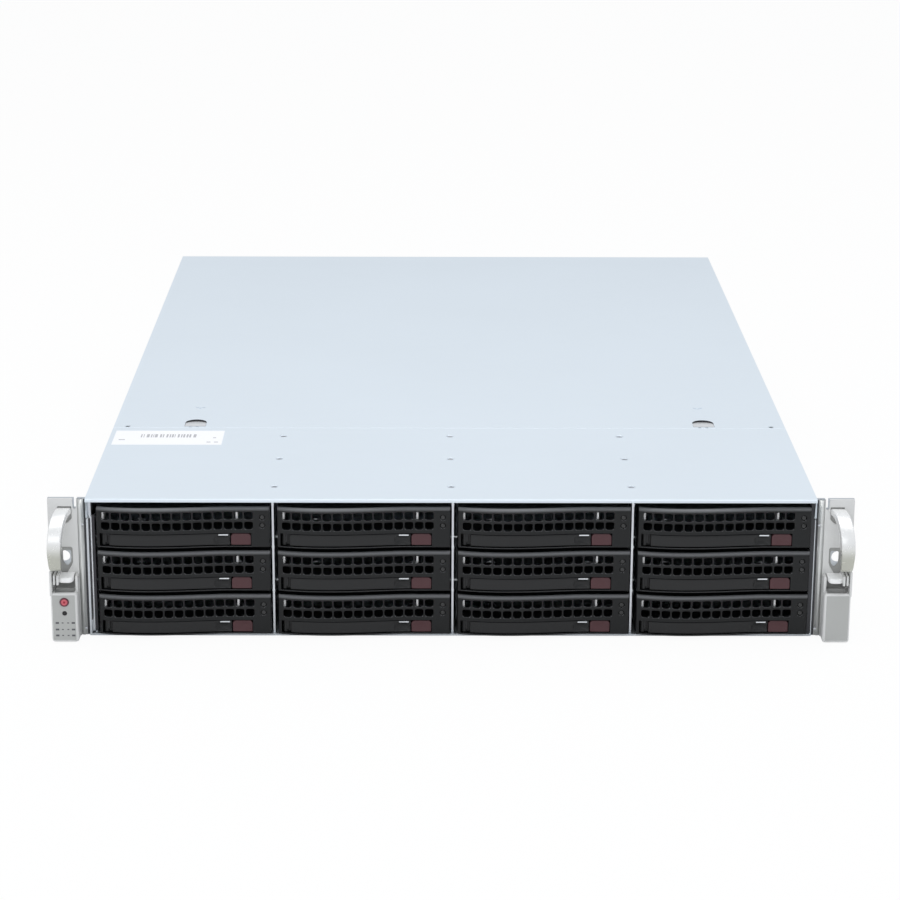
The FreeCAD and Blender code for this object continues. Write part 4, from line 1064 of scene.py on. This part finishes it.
def band(shape):
    """Rounded section at the front of the bow, spun up to its root and down to its foot."""
    section = []
    for corner_x, corner_y, first in ((1.0, 0.0, 270.0), (1.0, 1.0, 0.0),
                                      (0.0, 1.0, 90.0), (0.0, 0.0, 180.0)):
        for step in range(4):
            turn = math.radians(first + step * 30.0)
            middle_x = corner_x * band_wide + (-band_round if corner_x else band_round)
            middle_y = corner_y * grip_thick - grip_reach + (-band_round if corner_y else band_round)
            section.append((middle_x + band_round * math.cos(turn), middle_y + band_round * math.sin(turn),
                            band_mid_z))
    bow_radius_low = lower_y + grip_reach
    reach = math.radians(lower_turn)
    foot_y = lower_y - (bow_radius_low - foot_radius) * math.cos(reach)
    foot_z = band_mid_z - (bow_radius_low - foot_radius) * math.sin(reach)
    up = turned(shape, outline(shape, section), upper_y, band_mid_z, -upper_turn, 20)
    down = turned(shape, outline(shape, section), lower_y, band_mid_z, lower_turn, 8)
    down = turned(shape, down, foot_y, foot_z, 90.0 - lower_turn, 8)
    down = drawn(shape, down, (0.0, -foot_y, 0.0))
    for end in (up, down):
        bmesh.ops.edgeloop_fill(shape, edges=end)
    bmesh.ops.remove_doubles(shape, verts=shape.verts, dist=0.01)
    for vert in shape.verts:
        out = min(1.0, max(0.0, -vert.co.y / grip_reach))
        if vert.co.z > band_mid_z - 1.0:
            inner = root_x0 + (front_x0 - root_x0) * out
            outer = root_x1 + (front_x1 - root_x1) * out
        else:
            inner = foot_x0 + (front_x0 - foot_x0) * out
            outer = front_x1 - foot_taper * (band_mid_z - vert.co.z)
        vert.co.x = inner + (outer - inner) * vert.co.x / band_wide


for side in SIDES:
    bow = bmesh.new()
    band(bow)
    piece("bow_handle_" + side, sided(bow, side), [GRIP_PAINTED_LIGHT], "chassis", crease=50.0)


# ------------------------------------------------------------------ lower boxes
# Box under each handle, with a round nose over it and a cheek at each side.  The
# well sunk in the top of each box is painted grey as shade, and the nose is painted
# near white as a highlight on the ear's silver.  The left one is the control panel:
# a grey overlay, two button bores and small marks.  The right one carries a bare plate.
box_front = -12.0
box_low, box_high = (223.7, box_front, 0.0), (239.9, 0.0, 31.3)
well_low, well_high = (225.0, -11.2, 24.0), (238.8, 0.1, 31.4)
cheeks = (((238.8, -11.6, 29.0), (240.3, 0.0, 45.0), 0.7, 3),
          ((223.8, -7.0, 29.0), (225.7, 0.0, 40.5), 0.8, 3),
          ((234.6, -12.5, 36.4), (236.0, 0.0, 42.6), 0.5, 2),
          ((236.8, -12.0, 36.4), (238.0, 0.0, 42.6), 0.5, 2))
nose_low, nose_high = (226.3, -11.0, 37.3), (235.2, 0.0, 40.6)
overlay_x0, overlay_x1, overlay_z0, overlay_z1 = 225.3, 238.9, 1.6, 30.0
overlay_front, overlay_thick = box_front - 0.1, 0.12
marks = ((236.4, 2.0, 1.1), (226.8, 2.0, 1.1), (233.2, 1.1, 0.6), (229.9, 1.1, 0.6))
bore_deep, well_deep = 9.5, 6.0
power_low, power_high = span("power_button")
button_x = -(power_low.x + power_high.x) / 2
reset_low, reset_high = span("reset_button")
bores = [((power_low.z + power_high.z) / 2, 2.85), ((reset_low.z + reset_high.z) / 2, 1.5)]
OVERLAY = finish("overlay_grey", moulded, (0.46, 0.465, 0.45), 0.45, relief=0.01,
                 Grain=0.02, Handling=0.05)
MARKS = finish("overlay_marks", moulded, (0.10, 0.10, 0.11), 0.5, relief=0.0,
               Grain=0.05, Handling=0.05)
# Grey for the well sunk in the top of each box: painted shade.
BOX_SHADE = finish("box_well_painted_shade", moulded, (0.60, 0.60, 0.59), 0.5, relief=0.02, gloss=0.3,
                   Grain=0.05, Handling=0.08)
# Near white for the nose, which is the same silver moulding as the plate: painted highlight where the light
# falls on it from above.
NOSE_HIGHLIGHT = finish("nose_painted_highlight", moulded, (0.97, 0.97, 0.965), 0.30, relief=0.03, gloss=0.5,
              Grain=0.02, Handling=0.04)


def round_points(middle_x, middle_z, radius, sides, y=0.0):
    """Points round an upright circle."""
    return [(middle_x + radius * math.cos(math.tau * step / sides), y,
             middle_z + radius * math.sin(math.tau * step / sides)) for step in range(sides)]


for side in SIDES:
    box = bmesh.new()
    soft_slab(box, box_low, box_high, 1.7, 3)
    if side == "left":
        face = min(box.faces, key=lambda f: (round(f.calc_center_median().y, 2), -f.calc_area()))
        loops = face.edges[:]
        bmesh.ops.delete(box, geom=[face], context="FACES_ONLY")
        rings = [outline(box, round_points(button_x, z, radius, 20, box_front)) for z, radius in bores]
        loops += rings[0] + rings[1]
        bmesh.ops.triangle_fill(box, use_beauty=True, use_dissolve=False, edges=loops)
        for ring_edges in rings:
            bmesh.ops.edgeloop_fill(box, edges=drawn(box, ring_edges, (0.0, bore_deep, 0.0)))
    lid = max(box.faces, key=lambda f: (round(f.calc_center_median().z, 2), f.calc_area()))
    bmesh.ops.inset_region(box, faces=[lid], thickness=0.5, depth=0.0)
    sunk = bmesh.ops.extrude_face_region(box, geom=[lid] + lid.edges[:] + lid.verts[:])["geom"]
    bmesh.ops.translate(box, vec=(0.0, 0.0, -well_deep), verts=verts_in(sunk))
    # The walls and floor of the well, and the strip of rim behind it, take the grey of painted shade.
    for face in box.faces:
        middle = face.calc_center_median()
        if all(low < at < high for low, at, high in zip(well_low, middle, well_high)):
            face.material_index = 1
    for cheek in cheeks:
        soft_slab(box, *cheek)
    piece("lower_box_" + side, sided(box, side), [SILVER, BOX_SHADE], "chassis")
    nose = bmesh.new()
    slab(nose, nose_low, nose_high)
    for fore, width in ((True, 3.0), (False, 1.0)):
        rim = [edge for edge in nose.edges if all(vert.co.y < -0.1 for vert in edge.verts)
               and (not fore or abs(edge.verts[0].co.z - edge.verts[1].co.z) > 1.0)
               and edge.calc_face_angle(0.0) > 1.0]
        soften(nose, rim, width, 5 if fore else 3)
    piece("nose_" + side, sided(nose, side), [NOSE_HIGHLIGHT], "chassis")

    overlay = bmesh.new()
    through = outline(overlay, upright_rectangle(overlay_x0, overlay_z0, overlay_x1, overlay_z1,
                                                 overlay_front))
    if side == "left":
        for z, radius in bores:
            through += outline(overlay, round_points(button_x, z, radius, 20, overlay_front))
    bmesh.ops.triangle_fill(overlay, use_beauty=True, use_dissolve=False, edges=through)
    rim = drawn(overlay, through, (0.0, overlay_thick, 0.0))
    bmesh.ops.triangle_fill(overlay, use_beauty=True, use_dissolve=False, edges=rim)
    if side == "left":
        for mark_z in (12.5, 8.3, 4.5):
            for mark_x, wide, tall in marks:
                slab(overlay, (mark_x - wide / 2, overlay_front - 0.06, mark_z - tall / 2),
                     (mark_x + wide / 2, overlay_front + 0.01, mark_z + tall / 2), 1)
    piece("box_overlay_" + side, sided(overlay, side), [OVERLAY, MARKS], "chassis")


# ----------------------------------------------------------------- push buttons
# Power button: a clear red cap with a darker rim and a darker spot in its middle.
# The reset button below it is a small black pin.
RED_RIM, RED, RED_MARK, PIN = (
    finish(name, moulded, colour, roughness, relief=0.0, Grain=0.05, Handling=0.05)
    for name, colour, roughness in (("power_rim", (0.16, 0.025, 0.045), 0.30),
                                    ("power_red", (0.62, 0.12, 0.15), 0.22),
                                    ("power_mark", (0.34, 0.015, 0.035), 0.25),
                                    ("reset_pin", (0.010, 0.010, 0.011), 0.35)))
power_radius, reset_radius = 2.6, 1.3


def ringed(shape, face, rings):
    """Rings of a width and depth, one inside the other, round a face."""
    for width, depth in rings:
        bmesh.ops.inset_region(shape, faces=[face], thickness=width, depth=depth)


def round_cap(low, high, radius):
    """Round button along Y; returns its front face too."""
    shape = bmesh.new()
    middle = (low + high) / 2
    face = shape.faces.new([shape.verts.new(point)
                            for point in round_points(middle.x, middle.z, radius, 28, high.y)])
    grown = bmesh.ops.extrude_face_region(shape, geom=[face])["geom"]
    front_face = next(item for item in grown if isinstance(item, bmesh.types.BMFace))
    bmesh.ops.translate(shape, vec=(0.0, low.y - high.y, 0.0), verts=front_face.verts)
    return shape, front_face


shape, cap_face = round_cap(power_low, power_high, power_radius)
ringed(shape, cap_face, ((0.25, 0.0), (0.42, 0.0), (0.05, -0.12)))
cap_face.material_index = 1
ringed(shape, cap_face, ((1.1, 0.0),))
cap_face.material_index = 2
piece("power_cap", shape, [RED_RIM, RED, RED_MARK], "power_button", ["power_button"])
shape, pin_face = round_cap(reset_low, reset_high, reset_radius)
ringed(shape, pin_face, ((0.3, 0.0), (0.2, -0.2)))
piece("reset_cap", shape, [PIN], "reset_button", ["reset_button"])


# ---------------------------------------------------------------- inboard strips
# Pressed steel strip between each front plate and the drive cage, with a ridge
# along it and two small screws, and the front flange of the cage beside it.  Thin
# near-black slabs laid in the gaps beside the strip and the flange are painted shade.
STRIP = finish("strip_steel", rolled, (0.70, 0.71, 0.695), 0.34, metallic=0.6, relief=0.04,
               Cloud=0.04, Streak=0.05)
strip_foot, strip_tall, strip_sheet = 0.6, 86.0, 0.5
stud_x, stud_front, stud_long, stud_radius = 220.6, -0.5, 0.9, 0.75
strip_profile = [(220.1, 1.4), (220.1, 0.3), (221.2, 0.3), (221.5, -0.45), (222.5, -0.45), (222.8, 0.3),
                 (223.5, 0.3)]


def stood_out(shape, points, move):
    """Solid between a face through the points and its copy a move away, whose vertices it returns."""
    face = shape.faces.new([shape.verts.new(point) for point in points])
    grown = verts_in(bmesh.ops.extrude_face_region(shape, geom=[face])["geom"])
    bmesh.ops.translate(shape, vec=move, verts=grown)
    return grown


for side in SIDES:
    strip = bmesh.new()
    base = [strip.verts.new((x, y, strip_foot)) for x, y in strip_profile]
    foot = [strip.edges.new(pair) for pair in zip(base, base[1:])]
    drawn(strip, foot, (0.0, 0.0, strip_tall))
    bmesh.ops.recalc_face_normals(strip, faces=strip.faces)
    made = piece("ridge_strip_" + side, sided(strip, side), [STRIP], "chassis", crease=20.0)
    wall = made.modifiers.new("sheet", "SOLIDIFY")
    wall.thickness = strip_sheet * MM
    wall.offset = 0.0
    flange = bmesh.new()
    flange_in = 215.5 if side == "left" else 215.7
    soft_slab(flange, (flange_in, 2.4, 2.0), (216.7, 3.4, 85.8), 0.3, 2)
    soft_slab(flange, (flange_in, 0.8, 76.0), (218.4, 2.2, 86.2), 0.3, 2)
    soft_slab(flange, (216.7, 1.6, 2.0), (217.25, 3.0, 10.0), 0.2, 2)
    piece("cage_flange_" + side, sided(flange, side), [BRIGHT], "chassis")
    # Near-black slabs in the gaps round the strip and the flange: painted shade.
    shadow_gaps = bmesh.new()
    slab(shadow_gaps, (218.7, 0.9, 0.6), (220.05, 1.45, 86.4))
    if side == "left":
        slab(shadow_gaps, (213.9, 2.6, 2.0), (flange_in, 3.3, 76.0))
    else:
        slab(shadow_gaps, (215.6, -0.4, 2.0), (217.9, 0.5, 86.2))
    slab(shadow_gaps, (216.75, -0.1, 10.0), (217.25, 2.3, 76.0))
    piece("strip_shadow_gap_" + side, sided(shadow_gaps, side), [DARK_SCREW_AND_SHADE], "chassis")
    studs = bmesh.new()
    for stud_z in (71.0, 5.0):
        spot = round_points(stud_x, stud_z, stud_radius, 14, stud_front)
        stood_out(studs, spot, (0.0, stud_long, 0.0))
    piece("strip_screws_" + side, sided(studs, side), [SCREW], "chassis")


# ---------------------------------------------------------------- bay dividers
# Dividers between the columns of drives, folded from zinc-coated steel, with the
# runners that the trays slide on, and a stop pressed out at each row's foot.
dress("drive_bay_dividers", BRIGHT)
stop_half, stop_tall, stop_y0, stop_y1 = 1.0, 1.1, 3.6, 5.4
stops = bmesh.new()
for divider_x in (-107.1, 0.96, 109.2):
    for stop_z in (27.6, 55.3, 82.0):
        soft_slab(stops, (divider_x - stop_half, stop_y0, stop_z - stop_tall),
                  (divider_x + stop_half, stop_y1, stop_z + stop_tall), 0.5, 2)
piece("divider_stops", stops, [BRIGHT], "chassis")


# ---------------------------------------------------------------- circuit boards
# Drive backplane, main board and memory modules: glass-fibre boards under green
# solder mask, with the parts on them in the same finish.
board, board_in, board_out = effect(
    "solder_mask",
    [("Colour", "NodeSocketColor", (0.01, 0.06, 0.02, 1.0)),
     ("Roughness", "NodeSocketFloat", 0.35),
     ("Tracks", "NodeSocketFloat", 0.3)],
    [("Colour", "NodeSocketColor"), ("Roughness", "NodeSocketFloat"),
     ("Height", "NodeSocketFloat")])
weave = noise_on(board, (1.0, 0.08, 1.0), 420.0, 1.0)
cross = noise_on(board, (0.08, 1.0, 1.0), 420.0, 1.0)
track_shade = plus(board, around_zero(board, weave, board_in.outputs["Tracks"]),
                   around_zero(board, cross, board_in.outputs["Tracks"]))
board.links.new(shaded(board, board_in.outputs["Colour"], track_shade), board_out.inputs["Colour"])
board.links.new(board_in.outputs["Roughness"], board_out.inputs["Roughness"])
board.links.new(weave, board_out.inputs["Height"])

GREEN = finish("board_green", board, (0.012, 0.085, 0.030), 0.32, relief=0.15, Tracks=0.6)
MEMORY = finish("memory_green", board, (0.010, 0.070, 0.022), 0.30, relief=0.1, Tracks=0.5)
dress("drive_backplane", GREEN)
dress("motherboard", GREEN)
dress("memory_modules", MEMORY)


# -------------------------------------------------------------------- cooling
# Two finned aluminium heatsinks on the processors, and three 80 mm fans whose
# black moulded frames stand in a row behind the backplane.
SINK = finish("sink_aluminium", rolled, (0.72, 0.73, 0.74), 0.36, metallic=0.95, relief=0.05,
              Cloud=0.03, Streak=0.12)
FAN = finish("fan_black", moulded, (0.018, 0.018, 0.019), 0.42, relief=0.05, gloss=0.35,
             Grain=0.2, Handling=0.1)
ROTOR = finish("rotor_black", moulded, (0.028, 0.028, 0.030), 0.34, relief=0.03, gloss=0.4,
               Grain=0.1, Handling=0.08)
dress("cpu_heatsinks", SINK)
dress("fan_frames", FAN)
for number in (1, 2, 3):
    dress("fan_rotor_%d" % number, ROTOR)


# --------------------------------------------------------------- power supplies
# Two power supplies of plain zinc-coated steel, one above the other.  Each has a
# mains inlet with three blades, rows of air holes, a bent grip, a lamp and a
# maroon thumb latch.  The air holes are black discs laid on the face of the supply,
# painted shade for the dark inside of each hole.
SUPPLY = finish("supply_steel", rolled, (0.58, 0.60, 0.62), 0.38, metallic=0.85, relief=0.06,
                Cloud=0.06, Streak=0.1)
LATCH = finish("latch_maroon", moulded, (0.11, 0.030, 0.035), 0.40, relief=0.04, gloss=0.35,
               Grain=0.1, Handling=0.1)
LAMP = finish("lamp_clear", moulded, (0.25, 0.42, 0.22), 0.15, relief=0.0, Grain=0.02, Handling=0.02)
BLACK_AND_HOLE_SHADE = finish("connector_black_and_hole_shade", moulded, (0.015, 0.015, 0.016), 0.45, relief=0.02,
                   Grain=0.1, Handling=0.1)
SHELL = finish("port_shell", rolled, (0.66, 0.67, 0.68), 0.28, metallic=0.9, relief=0.02,
               Cloud=0.05, Streak=0.05)
rear_y = 647.0
inlet_wide, inlet_half_tall, inlet_lip, inlet_wall = 24.0, 9.2, 9.3, 1.5
inlet_back, inlet_floor = rear_y - 14.6, rear_y - 13.3
blade_half_wide, blade_half_tall, blade_tip = 0.8, 2.0, rear_y - 3.0
air_columns, air_rows, air_pitch_x, air_pitch_z, air_shift = 10, 9, 3.9, 4.05, 1.9
air_x, air_z, air_end, air_radius, air_front, air_deep = 4.0, 3.6, 41.0, 1.5, 0.12, 0.62
lamp_radius, lamp_front, lamp_deep = 1.4, 0.5, 1.5
for number in (1, 2):
    supply_body = "psu_module_%d" % number
    dress(supply_body, SUPPLY)
    dress("psu_latch_%d" % number, LATCH)
    supply_low, supply_high = span(supply_body)
    middle_z = (supply_low.z + supply_high.z) / 2
    inlet_x0 = supply_high.x - 5.0 - inlet_wide
    foot_z, head_z = middle_z - inlet_half_tall, middle_z + inlet_half_tall
    inlet = bmesh.new()
    soft_slab(inlet, (inlet_x0 + 0.3, inlet_back, foot_z),
              (inlet_x0 + inlet_wide - 0.3, inlet_floor + 0.1, head_z), 0.3, 1)
    for side_x in (inlet_x0 + 0.2, inlet_x0 + inlet_wide - 0.2 - inlet_wall):
        soft_slab(inlet, (side_x, inlet_floor - 0.1, foot_z), (side_x + inlet_wall, rear_y, head_z), 0.3, 1)
    for level in (middle_z - inlet_lip, middle_z + inlet_lip - inlet_wall):
        soft_slab(inlet, (inlet_x0 + inlet_wall, inlet_floor - 0.1, level),
                  (inlet_x0 + inlet_wide - inlet_wall, rear_y, level + inlet_wall), 0.3, 1)
    for blade, rise in ((7.0, -2.4), (12.0, 1.6), (17.0, -2.4)):
        blade_x, blade_z = inlet_x0 + blade, middle_z + rise
        soft_slab(inlet, (blade_x - blade_half_wide, inlet_floor, blade_z - blade_half_tall),
                  (blade_x + blade_half_wide, blade_tip, blade_z + blade_half_tall), 0.3, 2, 1)
    piece("mains_inlet_%d" % number, inlet, [BLACK_AND_HOLE_SHADE, SHELL], supply_body)

    # Black discs standing for the air holes: painted shade.
    grille = bmesh.new()
    for column in range(air_columns):
        for row in range(air_rows):
            hole_x = supply_low.x + air_x + column * air_pitch_x + (row % 2) * air_shift
            hole_z = supply_low.z + air_z + row * air_pitch_z
            if hole_x < supply_low.x + air_end:
                spot = round_points(hole_x, hole_z, air_radius, 6, rear_y + air_front)
                stood_out(grille, spot, (0.0, -air_deep, 0.0))
    piece("supply_air_hole_shade_%d" % number, grille, [BLACK_AND_HOLE_SHADE], supply_body)
    lamp = bmesh.new()
    spot = round_points(supply_high.x - 34.0, supply_high.z - 4.0, lamp_radius, 16, rear_y + lamp_front)
    stood_out(lamp, spot, (0.0, -lamp_deep, 0.0))
    piece("supply_lamp_%d" % number, lamp, [LAMP], supply_body)
dress("power_distributor", SUPPLY)


# ------------------------------------------------------------------- rear panel
# Plated shield over the main board's ports, one wide with two rows of pins and three
# with flat tongues.  Beside it are seven slotted blanking covers, each screwed down
# by its folded top tab, and eight rivets hold the rear wall.
slots_low, slots_high = span("expansion_slot_covers")
window_x0, window_x1, window_z0, window_z1 = -60.05, 98.7, 9.6, 54.05
port_foot, shield_thick, window_gap = 9.3, 0.5, 0.2
mouth_side, mouth_foot, mouth_head, mouth_cut, throat_gap = 0.7, 1.3, 0.8, 0.8, 1.4
ports = ((31.0, 13.0, 14.0), (16.0, 14.0, 52.0), (16.0, 27.0, 74.0), (18.0, 30.0, 100.0))
shield = bmesh.new()
mouths = []
for wide, tall, start in ports:
    x0, z0 = window_x0 + start + mouth_side, port_foot + mouth_foot
    x1, z1 = window_x0 + start + wide - mouth_side, port_foot + tall - mouth_head
    mouths.append([(x0 + mouth_cut, 0.0, z0), (x1 - mouth_cut, 0.0, z0), (x1, 0.0, z0 + mouth_cut),
                   (x1, 0.0, z1 - mouth_cut), (x1 - mouth_cut, 0.0, z1), (x0 + mouth_cut, 0.0, z1),
                   (x0, 0.0, z1 - mouth_cut), (x0, 0.0, z0 + mouth_cut)])
dot_columns, dot_rows, dot_pitch_x, dot_pitch_z, dot_radius = 9, 3, 4.2, 4.0, 1.3
for column in range(dot_columns):
    for row in range(dot_rows):
        spot_x = window_x0 + 16.0 + (column + row % 2 / 2) * dot_pitch_x
        mouths.append(round_points(spot_x, 38.0 + row * dot_pitch_z, dot_radius, 10))
shield_edge = upright_rectangle(window_x0 + window_gap, window_z0 + window_gap,
                                window_x1 - window_gap, window_z1 - window_gap)
pressed_plate(shield, shield_edge, mouths, [], shield_thick, 0.0)
bmesh.ops.translate(shield, vec=(0.0, rear_y - window_gap - shield_thick, 0.0), verts=shield.verts)
piece("port_shield", shield, [SHELL], "chassis", crease=25.0)

liners = bmesh.new()
for wide, tall, start in ports:
    side_gap = mouth_side + throat_gap
    soft_slab(liners, (window_x0 + start + side_gap, rear_y - 1.5, port_foot + mouth_foot + throat_gap),
              (window_x0 + start + wide - side_gap, rear_y - 1.1,
               port_foot + tall - mouth_head - throat_gap), 0.15, 1)
piece("port_throats", liners, [BLACK_AND_HOLE_SHADE], "chassis")
pin_count, pin_size, pin_pitch, pin_back, pin_tip = 9, 0.8, 2.4, rear_y - 1.2, rear_y - 0.85
tongue_wide, tongue_thick = 8.5, 1.2
pins = bmesh.new()
for column in range(pin_count):
    pin_x = window_x0 + 19.0 + column * pin_pitch
    for pin_z in (15.0, 18.0):
        slab(pins, (pin_x, pin_back, pin_z), (pin_x + pin_size, pin_tip, pin_z + pin_size))
for start, level in ((52.0, 14.0), (52.0, 19.0), (74.0, 14.0), (74.0, 21.0), (74.0, 29.0), (100.0, 15.0),
                     (100.0, 25.0)):
    tongue_x = window_x0 + start + 4.0
    slab(pins, (tongue_x, pin_back, level), (tongue_x + tongue_wide, pin_tip, level + tongue_thick))
piece("port_contacts", pins, [BRIGHT], "chassis")

slot_pitch, slot_wide, slot_count = 20.32, 18.4, 7
slot_gap, slot_thick, slot_inset, slot_tab_deep = 0.05, 0.8, 2.05, 12.1
slot_screw_radius, slot_screw_tall = 2.6, 1.6
vent_foot, vent_half, vent_point, vent_tall, vent_pitch, vent_rows = 26.0, 5.0, 0.6, 1.4, 4.7, 11
for number in range(slot_count):
    slot_x = slots_low.x + number * slot_pitch + slot_wide / 2
    cover = bmesh.new()
    half = slot_wide / 2 - slot_gap
    vents = []
    for row in range(vent_rows):
        low_z = vent_foot + row * vent_pitch
        mid_z, high_z = low_z + vent_tall / 2, low_z + vent_tall
        vents.append([(slot_x - vent_half, 0.0, low_z), (slot_x + vent_half, 0.0, low_z),
                      (slot_x + vent_half + vent_point, 0.0, mid_z), (slot_x + vent_half, 0.0, high_z),
                      (slot_x - vent_half, 0.0, high_z), (slot_x - vent_half - vent_point, 0.0, mid_z)])
    cover_head = slots_high.z - slot_gap
    outer = upright_rectangle(slot_x - half, slots_low.z + 0.3, slot_x + half, cover_head)
    pressed_plate(cover, outer, vents, [], slot_thick, 0.0)
    bmesh.ops.translate(cover, vec=(0.0, rear_y - slot_inset, 0.0), verts=cover.verts)
    soft_slab(cover, (slot_x - half, rear_y - slot_tab_deep, slots_high.z - 0.9),
              (slot_x + half, rear_y - 1.3, cover_head), 0.2, 1)
    head = [(x, rear_y - 7.0 + z, slots_high.z - 0.1)
            for x, _, z in round_points(slot_x + 4.0, 0.0, slot_screw_radius, 18)]
    stood_out(cover, head, (0.0, 0.0, slot_screw_tall))
    piece("slot_cover_%d" % (number + 1), cover, [SHELL], "chassis",
          ["expansion_slot_covers"] if number == 0 else (), crease=25.0)

rivet_radius, rivet_rise, rivet_crown = 1.8, 0.45, 0.7
rivets = bmesh.new()
for rivet_x in (-205.0, -70.0, 110.0, 136.0):
    for rivet_z in (5.5, 83.0):
        spot = round_points(rivet_x, rivet_z, rivet_radius, 16, rear_y)
        tops = stood_out(rivets, spot, (0.0, rivet_rise, 0.0))
        middle = Matrix.Translation((-rivet_x, 0.0, -rivet_z))
        bmesh.ops.scale(rivets, vec=(rivet_crown, 1.0, rivet_crown), verts=tops, space=middle)
piece("rear_rivets", rivets, [BRIGHT], "chassis")
